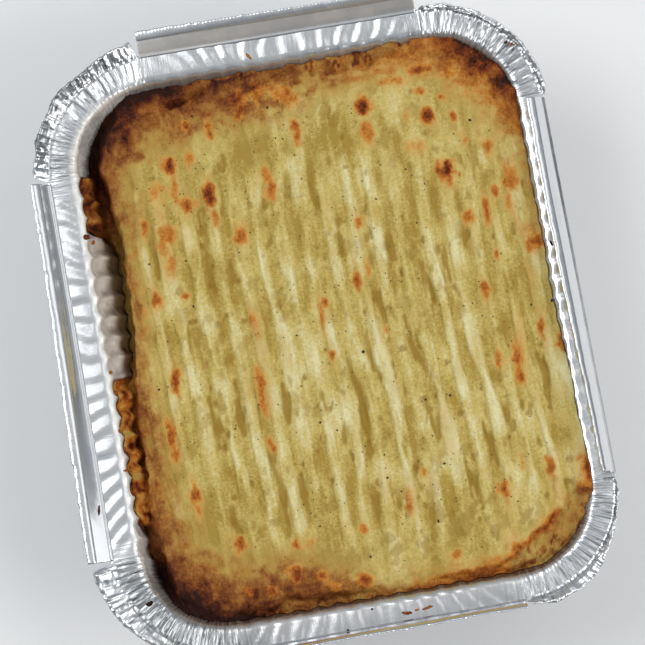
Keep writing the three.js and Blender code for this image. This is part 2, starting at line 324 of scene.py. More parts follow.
def tray_sizes():
    """The tray's sizes in millimetres, with the heights and insets worked out from them."""
    t = millimetres(bpy.context.scene.foil_tray)
    t.shoulder_insets = [t.ledge_reach + inset for inset, _ in SHOULDER]
    t.shoulder_heights = [t.ledge_height - down for _, down in SHOULDER]
    t.wall_top_inset, t.wall_top = t.shoulder_insets[0], t.shoulder_heights[0]
    t.wall_foot = CAD_FOIL + t.base_round
    t.wall_foot_inset = t.wall_top_inset + t.wall_draft * WALL_SHARE
    t.base_inset = t.wall_foot_inset + t.base_round * FOOT_WIDTH
    t.foot_inset = mix(t.wall_foot_inset, t.base_inset, FOOT_BEND[0])
    t.foot_height = FOOT_BEND[1] * t.base_round
    t.core_x = t.ledge_width / 2 - t.corner_radius
    t.core_y = t.ledge_length / 2 - t.corner_radius
    t.half = (t.ledge_width / 2, t.ledge_length / 2)
    t.run = (2 * t.core_y, 2 * t.core_x)
    t.flutes = (t.flutes_long, t.flutes_short)
    return t


def wall_inset(t, z):
    """Inset of the wall's inner cusps from the outside of the ledge, at a height."""
    return mix(t.wall_foot_inset, t.wall_top_inset, (z - t.wall_foot) / (t.wall_top - t.wall_foot))


def foil_inset(t, z):
    """Inset of the wall's cusps at a height, with the rounding up to the ledge."""
    shoulder = np.interp(z, t.shoulder_heights, t.shoulder_insets)
    return np.where(z > t.wall_top, shoulder, wall_inset(t, z))


def tray_outline(t):
    """Places anticlockwise round the outside of the ledge. A side's places lie evenly on its
    line, and a corner's on a quarter circle about the corner's centre. zone runs from 0 to 8,
    even from one end of a side to the other and odd round a corner."""
    xs, ys, normals, zones = [], [], [], []
    for index in range(4):
        angle = index * math.pi / 2
        nx, ny = side_normal(index)
        count = t.flutes[index % 2] * SIDE_STEPS
        share = np.arange(count) / count
        along = (share - 0.5) * t.run[index % 2]
        turn = np.arange(CORNER_STEPS) / CORNER_STEPS
        sweep = angle + turn * math.pi / 2
        centre_x = t.core_x * (1 if index in (0, 3) else -1)
        centre_y = t.core_y * (1 if index in (0, 1) else -1)
        xs += [nx * t.half[index % 2] - ny * along, centre_x + t.corner_radius * np.cos(sweep)]
        ys += [ny * t.half[index % 2] + nx * along, centre_y + t.corner_radius * np.sin(sweep)]
        normals += [np.full(count, angle), sweep]
        zones += [2 * index + share, 2 * index + 1 + turn]
    x, y, normal = (np.concatenate(part) for part in (xs, ys, normals))
    step = np.hypot(np.diff(x, append=x[0]), np.diff(y, append=y[0]))
    return SimpleNamespace(
        x=x, y=y, nx=np.cos(normal), ny=np.sin(normal), zone=np.concatenate(zones),
        along=np.concatenate([[0], np.cumsum(step)]),
    )


def place_near(t, x, y):
    """For points anywhere inside the outline: the nearest place's zone, the direction out to it
    and the inset from it."""
    ex, ey = np.abs(x) - t.core_x, np.abs(y) - t.core_y
    dx, dy = np.maximum(ex, 0), np.maximum(ey, 0)
    reach = np.hypot(dx, dy)
    inner = np.maximum(reach, 1e-9)
    nearer_x = ex > ey
    nx = np.where(reach > 0, dx / inner, nearer_x) * np.sign(x)
    ny = np.where(reach > 0, dy / inner, ~nearer_x) * np.sign(y)
    inset = t.corner_radius - np.where(reach > 0, reach, np.maximum(ex, ey))
    angle = np.arctan2(ny, nx) % (2 * math.pi)
    quarter = angle / (math.pi / 2)
    cornered = (ex > 0) & (ey > 0)
    side = np.round(quarter).astype(int) % 4
    run = np.where(side % 2 == 0, *t.run)
    along = np.where(side % 2 == 0, y * np.where(side == 0, 1, -1), x * np.where(side == 1, -1, 1))
    share = np.clip(along / run + 0.5, 0, 1)
    corner = np.floor(quarter)
    zone = np.where(cornered, 2 * corner + 1 + (quarter - corner), 2 * side + share * 0.9999)
    return SimpleNamespace(
        zone=zone, nx=nx, ny=ny, inset=inset, x=x + nx * inset, y=y + ny * inset
    )


def zone_parts(zone):
    """The number of a zone's part of the outline, even for a side and odd for a corner, and how
    far along that part it lies, from 0 to 1."""
    whole = np.floor(zone)
    return whole.astype(int) % 8, zone - whole


def by_zone(zone, table):
    """The columns of a table, whose first is the zone, at some zones: by straight lines."""
    zones, *columns = np.array(table).T
    return [np.interp(zone % 8, zones, column, period=8) for column in columns]


def flute_crown(t, zone):
    """0 at a cusp between flutes, 1 at a flute's crown: |sin|^0.8, and 0 in the corners."""
    part, turn = zone_parts(zone)
    crown = np.abs(np.sin(math.pi * np.where(part % 4 == 0, *t.flutes) * turn)) ** 0.8
    return np.where(part % 2 == 0, crown, 0)


def flute_lean(t, zone, z):
    """How far round, in zones, the flutes of the -X side have leant at a height: towards +Y on
    their way down, and not at the side's ends."""
    turn = np.clip(zone - 4, 0, 1)
    lean = FLUTE_LEAN * np.clip(t.wall_top - z, 0, 14) * smooth(turn * 6) * smooth((1 - turn) * 6)
    return lean / t.run[0]


def crimps(zone, count, seed):
    """Height of the crimps round the corners, 0 to 1: a wave of sharp folds whose width and
    height are drawn for each fold, and 0 on the straight sides."""
    part, turn = zone_parts(zone)
    heights = np.random.default_rng(seed).uniform(0.15, 1, (4, count + 4))
    drift = 0.7 * noise(turn * count * 0.37, part * 5.5, seed) + 0.3 * noise(
        turn * count * 0.9, part * 3.3, seed + 1
    )
    phase = turn * count + drift + 1.5
    fold = np.clip(np.floor(phase), 0, count + 3).astype(int)
    wave = 1 - np.abs(2 * (phase - np.floor(phase)) - 1) ** 0.8
    return np.where(part % 2 == 1, heights[part // 2, fold] * wave, 0)


def corner_share(t, zone):
    """1 round the corners, falling to 0 at the straight sides."""
    part, turn = zone_parts(zone)
    arc = t.corner_radius * math.pi / 2
    start, end = smooth(turn * arc / CORNER_BLEND), smooth((1 - turn) * arc / CORNER_BLEND)
    return np.where(part % 2 == 1, start * end, 0)


def wall_bulge(t, place, z):
    """How far the wall stands out of its cusp line: flutes on the sides, deeper on -X and
    shallower near the top elsewhere, and crimps in the corners, both dying out down to the
    base. Low dents of no order are added, and the lean beside the gap is taken off."""
    part, _ = zone_parts(place.zone)
    fade = np.clip(mix(0.5, 1, (z - t.wall_foot) / (t.wall_top - t.wall_foot)), 0, 1)
    crown = flute_crown(t, place.zone + flute_lean(t, place.zone, z))
    deeper = 1 + 0.35 * (part == 4) * smooth((t.wall_top - z) / 2)
    shallower = 1 - 0.6 * (part % 2 == 0) * (part != 4) * smooth((z - 29) / 5)
    flutes = t.flute_depth * crown * deeper * shallower
    folds = flutes + 0.5 * crimps(place.zone, 34, 11) - 0.1
    dents = 0.16 * layered(place.x / 8 + z / 9, place.y / 8, 41, 2)
    slump = GAP_SLUMP * smooth((t.wall_top - z) / 6.5) * smooth((z - 3) / 12)
    return fade * folds + smooth((z - 2) / 10) * dents - slump * beside_gap(place.zone)


GAP_ZONES = (4.13, 4.54)  # where the mash has shrunk from the wall of the -X side
GAP_SLUMP = 2.4  # how far the wall leans in there


def beside_gap(zone):
    """1 where the mash has shrunk from the wall, falling to 0 at both ends of that gap."""
    start, end = GAP_ZONES
    return smooth((zone - start) / 0.035) * smooth((end - zone) / 0.035)


# ---- The foil tray ----

LEDGE_WAVE = 0.3  # height of the soft dents that the flutes leave in the ledge
PROFILE_SAMPLES = 1500
BASE_RINGS, BASE_WINDOW = 17, 1.2  # and the length over which a part's bends are rounded
RIM_RINGS, RIM_WINDOW = 28, 0.7
FLANGE_RINGS = 13
LEDGE_FAN = 1.6  # how far those dents fan out across the ledge at its ends, in flutes


def rounded_profile(points, window, count):
    """A polyline evened out: sampled finely by its length, averaged over a window of that
    length, and sampled again at count places."""
    points = np.asarray(points, float)
    length_along = np.concatenate([[0], np.cumsum(np.hypot(*np.diff(points[:, :2], axis=0).T))])
    fine = np.linspace(0, length_along[-1], PROFILE_SAMPLES)
    sampled = np.stack([np.interp(fine, length_along, column) for column in points.T])
    width = max(1, int(window / (fine[1] - fine[0])))
    padded = np.pad(sampled, ((0, 0), (width, width)), mode="reflect", reflect_type="odd")
    kernel = np.ones(width) / width
    even = np.stack([np.convolve(row, kernel, "same")[width:-width] for row in padded])
    picks = np.linspace(0, PROFILE_SAMPLES - 1, count).round().astype(int)
    return even[:, picks]


def ledge_dents(t, outline, across):
    """Soft dents of the ledge at the flutes' pitch, each steep on one side, which fan out
    towards the corners, and low dents of no order."""
    part, turn = zone_parts(outline.zone)
    side = part // 2
    count = np.array(t.flutes)[side % 2]
    to_end = 2 * turn - 1
    fan = LEDGE_FAN * to_end * np.sqrt(np.abs(to_end)) * across
    phase = turn * count + fan + 0.22 * noise(turn * count * 0.5, 2 * across, 31)
    share = phase - np.floor(phase)
    wave = smooth(share / 0.72) - smooth((share - 0.72) / 0.28) - 0.5
    uneven = 0.75 + 0.6 * noise(turn * count * 0.31 + 9 * side, across, 32)
    on_side = np.where(part % 2 == 0, smooth(turn * 14) * smooth((1 - turn) * 14), 0)
    low = 0.16 * noise(outline.x / 7, outline.y / 7, 33)
    return LEDGE_WAVE * wave * uneven * on_side + low


def tray_skin(t):
    """The foil as rings round the outline: up the inside from the base, over the ledge to the
    fold, and on round the corners to the crimped edge. Returns the outline and the points of
    the lower and the upper part, ring by ring. A profile's points are an inset, a height and
    the flutes' share of their full depth."""
    outline = tray_outline(t)
    split = (wall_inset(t, SPLIT_HEIGHT), SPLIT_HEIGHT, 0.75)
    base = [
        (t.base_inset + 3, t.foil, 0),
        (t.base_inset, t.foil, 0),
        (t.foot_inset, t.foil + t.foot_height, 0.1),
        (t.wall_foot_inset, t.wall_foot, 0.5),
        split,
    ]
    rim = [
        split,
        *zip(t.shoulder_insets, t.shoulder_heights, (1, 0.4, 0.12)),
        (t.ledge_reach - 1.6, t.ledge_height, 0),
        (0, t.ledge_height, 0),
    ]
    lower = ring_points(t, outline, rounded_profile(base, BASE_WINDOW, BASE_RINGS))
    upper = ring_points(t, outline, rounded_profile(rim, RIM_WINDOW, RIM_RINGS))
    return outline, lower, np.concatenate([upper, flange_points(t, outline)])


def corner_creases(outline, inset):
    """Sharp fine creases and soft buckles of the ledge round the corners."""
    drift = 0.012 * noise(inset, outline.zone * 9, 12)
    fine = 0.3 * crimps(outline.zone + drift, 46, 13)
    broad = 0.42 * crimps(outline.zone - drift, 19, 15)
    soft = 0.14 * noise(outline.x / 2.4, outline.y / 2.4 + inset / 4, 14)
    return fine + broad - 0.31 + soft + 0.03 * noise(outline.x / 0.9, inset / 1.2, 16)


# How far the ledge's flat reaches in beyond its usual inner edge, by zone.
SHOULDER_BY_ZONE = (
    (0, 0), (3, 0.2), (3.9, 0.7), (4.05, 1.2), (4.3, 1), (4.5, 0.8), (4.8, 0.7), (5, 0.4),
    (5.6, 0), (7.9, 0),
)


def ring_points(t, outline, profile):
    """Rings of the wall and ledge: in from the outline by the ring's inset, less the flutes and
    crimps, and lifted by the ledge's dents and by creases round the corners."""
    inset, z, flute = (row[:, None] for row in profile)
    (reach,) = by_zone(outline.zone, SHOULDER_BY_ZONE)
    inset = inset + reach * smooth((inset - 4.4) / 1.1) * smooth((z - t.wall_top) / 1.6)
    ledge = smooth((t.ledge_reach + 0.1 + reach - inset) / 1.2)
    wall = smooth((inset - reach - t.ledge_reach + 0.3) / 1.4)
    flute = np.minimum(flute * (1 + 1.3 * beside_gap(outline.zone)), 1)
    crowns = flute * t.flute_depth * flute_crown(t, outline.zone)
    bulge = mix(crowns, wall_bulge(t, outline, z), wall)
    cornered = corner_share(t, outline.zone)
    across = np.clip(inset / t.ledge_reach, 0, 1)
    lift = ledge * (
        ledge_dents(t, outline, across) + corner_creases(outline, inset) * cornered
        - 0.5 * (across - 0.5) ** 2
    )
    bulge = bulge + fold_shift(outline.zone) * (1 - across) * ledge
    x = outline.x - outline.nx * (inset - bulge)
    y = outline.y - outline.ny * (inset - bulge)
    return np.stack([x, y, z + lift], axis=-1)


def flange_points(t, outline):
    """Rings beyond the fold. Round the corners the crimped foil reaches out and up, with a soft
    crease along the fold and an uneven edge that curls down; along the sides it ends just under
    the lips."""
    w = (np.arange(1, FLANGE_RINGS + 1) / FLANGE_RINGS)[:, None]
    part, turn = zone_parts(outline.zone)
    steps = np.linspace(0, 1, 7)
    reach = np.array([np.interp(turn, steps, row) for row in CORNER_OUT])
    out = reach[part // 2, np.arange(len(turn))]
    up = np.array(CORNER_UP)[part // 2]
    cornered = corner_share(t, outline.zone)
    drift = 0.02 * noise(outline.zone * 6, w * 1.5, 21)
    folds = crimps(outline.zone + drift, 21, 22) - 0.4
    fine = crimps(outline.zone - drift, 44, 23) - 0.3
    buckle = noise(outline.zone * 9, w * 1.4, 24) + 0.5 * noise(outline.zone * 22, w * 3, 27)
    ragged = 0.3 * noise(outline.zone * 13, 0, 25) + 0.16 * noise(outline.zone * 60, 0, 26)
    crease = (0.14 + 0.14 * noise(outline.zone * 30, 0, 28)) * bump((w - 0.08) / 0.1)
    crumple = noise(outline.zone * 31, w * 5, 29)
    relief = 0.7 * folds * w**0.6 + 0.12 * fine + 0.6 * buckle * w + crease
    relief = relief + 0.16 * crumple * w**0.5
    long_way = np.hypot(out, up)
    far = mix(0.35, (out + ragged) * w - relief * up / long_way * 0.5, cornered)
    far = far + fold_shift(outline.zone)
    curl = 0.5 * smooth((w - 0.84) / 0.16)
    lift = (up * w**0.9 + relief * out / long_way - curl * out / long_way) * cornered
    edge = ledge_dents(t, outline, 0.0) + corner_creases(outline, 0.0) * cornered - 0.125
    x = outline.x + outline.nx * far
    y = outline.y + outline.ny * far
    z = t.ledge_height + lift + edge * (1 - smooth(w / 0.4) * cornered)
    return np.stack([x, y, z - 0.05 * w * (1 - cornered)], axis=-1)


def arc_heights(points):
    """How far along the foil each ring lies, on average over the ring."""
    step = np.linalg.norm(np.diff(points, axis=0), axis=-1).mean(axis=1)
    return np.concatenate([[0], np.cumsum(step)])


def mark_sharp(made, first, count):
    """Marks the edges of one ring of points as sharp, so that the shading stays even there."""
    mesh = made.data
    ends = np.zeros(2 * len(mesh.edges), np.int32)
    mesh.edges.foreach_get("vertices", ends)
    within = ((ends >= first) & (ends < first + count)).reshape(-1, 2).all(axis=1)
    sharp = mesh.attributes.new("sharp_edge", "BOOLEAN", "EDGE")
    sharp.data.foreach_set("value", within)


def band_quads(rows, columns):
    """Quads of a closed grid that face in and up."""
    return grid_quads(rows, columns, closed=True)[:, [0, 3, 2, 1]]


# Baked grease on the inside of the wall, by zone.
FILM_BY_ZONE = (
    (0, 0.1), (0.8, 0.15), (1.3, 0.35), (2, 0.5), (2.5, 0.6), (2.9, 0.5), (3.2, 0.9), (3.9, 1),
    (4.05, 0.7), (4.2, 0.85), (4.5, 0.85), (4.6, 0.8), (5, 0.9), (5.3, 0.6), (6, 0.5), (7, 0.3),
    (7.9, 0.1),
)


def film_mask(zone, inset):
    """Baked grease on the foil: on the wall by zone, and a little on the ledge's inner edge
    along -Y."""
    (amount,) = by_zone(zone, FILM_BY_ZONE)
    ledge = 0.25 * smooth((inset - 3.6) / 1.8) * smooth((zone - 5.9) / 0.2) * (zone < 7.3)
    return np.maximum(amount * smooth(inset - 5.4), ledge)


# Burnt juices on the foil, by zone: on the wall from just under the ledge down, on the bend up
# to the ledge, and on the ledge. Last, how far the ledge is darkened with painted shade.
BURN_BY_ZONE = (
    (0, 0, 0.1, 0, 0), (1, 0.4, 0.4, 0, 0), (1.3, 0.9, 0.7, 0, 0.5), (1.8, 0.9, 0.7, 0, 0.45),
    (2.1, 0.6, 0.5, 0, 0.15), (2.9, 0.7, 0.6, 0, 0.1), (3.2, 0.35, 0.15, 0, 0.1),
    (3.9, 0.25, 0.05, 0, 0.1), (4.1, 0, 0, 0, 0), (4.98, 0, 0, 0, 0), (5.1, 0.75, 0.2, 0, 0.35),
    (5.4, 0.9, 0.6, 0.04, 0.75), (5.8, 0.9, 0.85, 0.06, 0.7), (6.2, 0.9, 0.9, 0.14, 0.1),
    (6.9, 0.9, 0.9, 0.14, 0.1), (7.2, 0.8, 0.85, 0.03, 0.15), (7.8, 0.7, 0.7, 0, 0.1),
    (7.95, 0, 0.2, 0, 0),
)


def burn_masks(t, zone, inset, z):
    """How far the foil is burnt and how far it is darkened with painted shade, from the table.
    Beside the gap painted shade is laid as burn on the -Y half of each flute and further down the
    wall, and the crimped edge at -X +Y gets painted shade."""
    wall, bend, ledge, darkening = by_zone(zone, BURN_BY_ZONE)
    phase = (np.clip(zone - 4, 0, 1) + flute_lean(t, zone, z)) * t.flutes[0] % 1
    half = smooth((phase - 0.3) / 0.45) * smooth((1 - phase) / 0.07)
    patchy = 0.75 + 0.5 * noise(zone * 60, z / 2, 119)
    # grease is painted shade: the burn colour laid on the -Y half of each flute and further down
    # the wall beside the gap.
    grease = 0.5 * half * patchy * smooth((inset - 6.9) / 1.2) + 0.3 * smooth((32 - z) / 6)
    burnt = wall * smooth((inset - 7.1) / 0.8) * smooth((37.4 - z) / 11)
    burnt = np.maximum(burnt, bend * smooth((inset - 5.7) / 0.9))
    burnt = np.maximum(burnt, grease * smooth((inset - 7) / 0.8) * beside_gap(zone))
    burnt = np.maximum(burnt, ledge * (inset < 6))
    # Painted shade on the crimped edge at -X +Y, added to the ledge's painted shade from the table.
    flange = smooth((zone - 3) / 0.25) * smooth((4 - zone) / 0.25) * smooth(-inset / 0.8)
    return burnt, darkening * (inset < 6.4) * smooth(inset + 0.6) + 0.6 * flange


def crimp_mask(zone):
    """1 in the corners, where the foil is crimped, and less a little way into the sides."""
    part, turn = zone_parts(zone)
    edge = np.minimum(turn, 1 - turn)
    return np.where(part % 2 == 1, 1, 0.12 + 0.5 * (1 - smooth(edge * 11)))


def foil_masks(t, outline, points):
    """The masks for the finish of rings of foil round the outline, painted shade among them."""
    x, y, z = points.reshape(-1, 3).T
    inset = place_near(t, x, y).inset
    zone = np.broadcast_to(outline.zone, points.shape[:2]).ravel()
    burnt, painted_shade = burn_masks(t, zone, inset, z)
    return {
        "film": film_mask(zone, inset), "burn": burnt, "darkening": painted_shade, "crimp": crimp_mask(zone),
    }


# The base's rings, from the middle out, as shares of the way to the foot of the wall.
BASE_SHARES = (0.08, 0.22, 0.42, 0.62, 0.82)


def build_tray(t):
    """The tray's two bands: the bowl, closed by the base, and the rim with its ledge."""
    outline, lower, upper = tray_skin(t)
    columns = len(outline.x)
    base = lower[0] * np.array(BASE_SHARES)[:, None, None]
    base[..., 2] = t.foil
    bowl_points = np.concatenate([base, lower])
    centre = len(bowl_points) * columns
    fan = [(centre, (k + 1) % columns, k) for k in range(columns)]
    flat = np.concatenate([bowl_points.reshape(-1, 3), [[0, 0, t.foil]]])
    masks = foil_masks(t, outline, bowl_points)
    masks = {key: np.append(values, 0) for key, values in masks.items()}
    quads = band_quads(len(bowl_points), columns)
    bowl = make_object("tray_bowl", flat, quads, fan, masks, solid=False)
    heights = arc_heights(bowl_points)
    wrapped_uv(bowl, quads, columns, outline.along, heights)

    masks = foil_masks(t, outline, upper)
    quads = band_quads(len(upper), columns)
    rim = make_object("tray_rim", upper.reshape(-1, 3), quads, (), masks, solid=False)
    wrapped_uv(rim, quads, columns, outline.along, heights[-1] + arc_heights(upper))
    mark_sharp(bowl, (len(bowl_points) - 1) * columns, columns)
    mark_sharp(rim, 0, columns)
    for made in (bowl, rim):
        thicken(made, t.foil, "Foil thickness")
    return bowl, rim


# ---- The lips ----

LIP_STEPS = 260
LIP_END_GAP = 0.4  # from each end of a lip to the end of its side
HEM_STAIN_END = 78  # Y at which the stain on the +Y hem ends
KNURL_PITCH = 0.85  # ribs pressed into the hem's edge
LIP_THIN = 0.08  # half the thickness of a lip's face
LIP_FOOT = 1.7  # part of a lip's face next to the fold, with an angle of its own
# Angles above the horizontal in degrees, at five even steps along each side anticlockwise from
# +X, of a lip's foot, of the rest of its face and of its hem. Over 90 they lean in.
LIP_FOOT_TILT = (
    (104, 106, 112, 118, 116), (36, 34, 32, 28, 14), (28, 27, 26, 24, 20), (75, 75, 75, 75, 75),
)
LIP_TILT = (
    (120, 124, 130, 134, 126), (29, 26, 24, 18, 9), (70, 62, 50, 34, 15), (75, 75, 75, 75, 75),
)
LIP_HEM_TILT = (
    (130, 134, 150, 160, 160), (40, 36, 32, 24, 10), (22, 16, 10, 5, 4), (58, 58, 58, 58, 58),
)
# How far the fold stands out beyond its line, by zone.
FOLD_BY_ZONE = ((0, 0), (2.2, 0), (3, 0.6), (3.3, 0), (4.3, 0), (5, 0.45), (5.3, 0), (7.9, 0))


def fold_shift(zone):
    """How far the ledge's outer edge stands out at a zone."""
    return by_zone(zone, FOLD_BY_ZONE)[0]


def lip_section(t):
    """Closed section of a lip: along it from the fold, square to it, and how far it is hem. A
    bead at the fold, the thin face, and the hem as a flattened roll."""
    half = t.hem_width / 2
    middle = t.lip_length - half
    thick = t.hem_thickness / 2
    bead = [(-0.34, 0, 0), (-0.24, 0.24, 0), (0.02, 0.38, 0), (0.3, 0.3, 0), (0.55, LIP_THIN, 0)]
    face = [(mix(0.8, middle - half - 0.15, k / 5), LIP_THIN, 0) for k in range(6)]
    roll = [
        (middle - half * math.cos(a), max(thick * math.sin(a), LIP_THIN), smooth(0.6 * a))
        for a in np.linspace(0.12, math.pi / 2, 7)[:-1]
    ]
    roll += [
        (middle - half * math.cos(a), thick * math.sin(a), 1)
        for a in np.linspace(math.pi / 2, math.pi, 8)
    ]
    upper = bead + face + roll
    lower = [
        (a, min(-LIP_THIN, b - 0.6) if k < len(bead) - 1 else -b, hem)
        for k, (a, b, hem) in enumerate(upper[1:-1])
    ]
    return np.array(upper + lower[::-1])


def lip_points(t, index):
    """A lip's section carried along its side. Its angles waver, the face is dented, and the
    hem's edge is knurled."""
    a, b, hem = lip_section(t).T
    share = np.linspace(0, 1, LIP_STEPS)[:, None]
    along = (share - 0.5) * (t.run[index % 2] - 2 * LIP_END_GAP)
    steps = np.linspace(0, 1, 5)
    wander = 0.8 * noise(share * 5, 0, 51 + index)
    tables = (LIP_FOOT_TILT[index], LIP_TILT[index], LIP_HEM_TILT[index])
    tilts = [np.radians(np.interp(share, steps, table) + wander) for table in tables]
    ribs = np.sin(2 * math.pi * along / KNURL_PITCH + 0.9 * noise(along / 3, 0, 55))
    ragged = 0.12 * noise(along / 1.1, 0, 56 + index) + 0.1 * noise(along / 5, 0, 57 + index)
    a = a + hem**4 * (0.04 * ribs + ragged)
    b = b + 0.025 * hem**4 * ribs * np.sign(b) + 0.05 * noise(along / 11, a / 5, 61 + index)
    b = b + 0.008 * noise(along / 2.2, a / 2, 65 + index)
    bends = (LIP_FOOT, t.lip_length - t.hem_width)
    parts = (np.minimum(a, bends[0]), np.clip(a, *bends) - bends[0], np.maximum(a - bends[1], 0))
    square = tilts[0]
    for bend, before, after in zip(bends, tilts, tilts[1:]):
        square = square + (after - before) * smooth((a - bend + 0.6) / 1.2)
    nx, ny = side_normal(index)
    out = t.half[index % 2] + fold_shift(2 * index + share * 0.999) - b * np.sin(square)
    z = t.ledge_height - 0.1 + b * np.cos(square)
    for part, tilt in zip(parts, tilts):
        out = out + part * np.cos(tilt)
        z = z + part * np.sin(tilt)
    return np.stack([nx * out - ny * along, ny * out + nx * along, z], axis=-1)


def build_lips(t):
    """The four lips as one object, each a closed sweep with flat ends. The hem on +Y is stained
    by the grease, between its face and its outer edge."""
    points, quads, caps = [], [], []
    for index in range(4):
        lip = lip_points(t, index)
        rows, columns = lip.shape[:2]
        start = len(points) * rows * columns
        flat = lip.reshape(-1, 3)
        faces = grid_quads(rows, columns, closed=True)
        ends = [list(range(columns))[::-1], list(range((rows - 1) * columns, rows * columns))]
        if signed_volume(flat, faces, ends) < 0:
            faces, ends = faces[:, ::-1], [end[::-1] for end in ends]
        points.append(flat)
        quads.append(faces + start)
        caps += [[start + k for k in end] for end in ends]
    flat = np.concatenate(points)
    y = flat[:, 1]
    tan = smooth((y - t.half[1] - 0.3) / 0.6) * smooth((HEM_STAIN_END - y) / 0.5)
    masks = {"film": 0.5 * tan, "burn": 0.4 * tan, "darkening": 0, "crimp": 0.15}
    return make_object("tray_lips", flat, np.concatenate(quads), caps, masks, solid=False)


# ---- The mash ----

FIT_GAP = 0.35  # the solid's clearance from the foil, which the mash fills
TOUCH_GAP = 0.12  # between the mash's edge and the foil
CUSP_STEPS = (-0.0045, 0, 0.0045)  # zones to either side within which the mash clears the foil
SIDE_GAP = 0.3  # lower down, where the pie's side is out of sight
SIDE_LEVELS = (35, 31, 26, 20, 14, 9)  # heights of the rings down that side
PIE_FOOT = CAD_FOIL + FIT_GAP  # height of the pie's underside
MASH_COLUMNS = 318
MASH_ROWS = 270

# Browned spots: place, half width along X, half length along Y, and shade from 0 to 1.
BROWNED = (
    (-32, 46.8, 1.4, 2.2, 0.92), (-31.4, 41.5, 0.9, 3.4, 0.6), (-29.2, 37.1, 2.4, 1.7, 0.72),
    (-20.5, 53.6, 0.9, 2, 0.75), (-26.1, 55.8, 0.9, 1.2, 0.75), (-12.6, 60.5, 2.2, 2, 0.86),
    (-12.6, 57.5, 1.2, 2, 0.8), (-8.1, 61.5, 3, 2.4, 0.7), (-0.8, 59.2, 2.4, 2.6, 0.7),
    (0.2, 50, 1.1, 2.6, 0.7), (-26.4, 48.1, 0.9, 2.2, 0.6), (-23.2, 38.1, 1.1, 3.2, 0.88),
    (-23, 33, 0.8, 2.4, 0.58), (-8.8, 40.6, 1.1, 3.4, 0.56), (-8.2, 36.6, 1.2, 1.6, 0.7),
    (-17.4, 26.6, 1.5, 2.4, 0.66), (-40.3, 32.7, 0.8, 1.8, 0.6), (-34.9, 29.9, 2, 1.8, 0.6),
    (-36.6, 26.6, 1.1, 3.4, 0.5), (-35.3, 22.6, 1, 1.4, 0.6), (-40.4, 15, 1.1, 1.9, 0.72),
    (-33, 14.6, 0.8, 0.7, 0.76), (-18.4, 5.2, 1, 1.5, 0.58), (17.6, 52.8, 1.7, 2.2, 0.92),
    (17.4, 46.6, 1.2, 3, 0.64), (32.8, 47.7, 1.4, 1.4, 0.92), (38.6, 46.8, 1.2, 1.3, 0.74),
    (32, 54.2, 1.2, 0.9, 0.64), (37.2, 51.8, 1, 0.7, 0.66), (34.5, 33.1, 1.9, 2.5, 0.92),
    (46, 38.2, 0.9, 1.6, 0.7), (40.4, 40.2, 0.7, 0.9, 0.6), (45.7, 26.3, 0.9, 1.1, 0.74),
    (42.6, 22.3, 0.7, 3.4, 0.74), (37.9, 20.9, 1, 1.5, 0.62), (49.4, 28.6, 1.9, 2.4, 0.58),
    (48.4, 23.4, 1, 2.4, 0.5), (52.2, 12.4, 1.3, 1.7, 0.8), (11.5, 24.7, 0.9, 1.1, 0.74),
    (8.5, 10.3, 0.8, 2.6, 0.7), (0, 6.7, 0.7, 0.9, 0.7), (38.6, 3, 0.8, 1.5, 0.74),
    (42.9, 10.9, 0.5, 1.2, 0.66), (13.4, -2.4, 0.7, 1.6, 0.58), (-39.3, -5.3, 1, 3, 0.76),
    (-19.1, -11.6, 0.9, 5.6, 0.64), (-19.1, -25.8, 0.8, 2, 0.66), (-42.4, -20, 1, 4.6, 0.72),
    (-39.2, -34.4, 1, 3.4, 0.7), (-30.8, -48.2, 1.2, 1.6, 0.8), (-17.3, -50.3, 0.7, 0.9, 0.7),
    (-18.8, -57.4, 1.6, 1.7, 0.88), (-12.9, -58.8, 1.3, 1.3, 0.78), (-30.4, -59.2, 2, 1.2, 0.78),
    (-25.3, -60.3, 1.7, 1, 0.8), (-0.7, -6.4, 0.6, 2, 0.7), (-1.6, 2.5, 0.6, 4.4, 0.5),
    (43.2, -15.3, 0.8, 5, 0.76), (38.6, -14.6, 0.9, 2.2, 0.56), (53.3, -13, 0.8, 2, 0.66),
    (50.4, -9, 0.6, 2.2, 0.62), (16.2, -38.9, 0.7, 1.9, 0.7), (34.2, -45.9, 1.2, 1.2, 0.82),
    (46.2, -42.1, 0.9, 1.7, 0.68), (10.7, -45.9, 0.8, 1, 0.64), (-0.8, -49.4, 0.9, 0.9, 0.68),
    (-2.9, -61.5, 1.7, 1.1, 0.78), (43.6, -56, 1, 1.8, 0.72), (35.5, -60.5, 2.4, 1, 0.85),
    (-14.5, -50.8, 1.3, 1.5, 0.46), (-10.2, -61.8, 2.4, 1, 0.6), (20, -59.5, 1.6, 1, 0.56),
    (39.8, -40, 0.7, 1.6, 0.5), (11.6, 13, 0.7, 2, 0.5), (28.5, 40.5, 2, 2, 0.44),
    (27.5, 49, 1.6, 1.4, 0.44), (-36, 41, 2.6, 3.2, 0.44), (-45, 12, 1.6, 6, 0.52),
    (52.9, -45, 0.6, 3, 1), (51.9, -50, 0.6, 2, 0.98), (25.5, 58, 4.2, 0.9, 0.6),
    (33, 59.4, 3.2, 1, 0.76), (39, 57.4, 3.4, 0.8, 0.56),
)

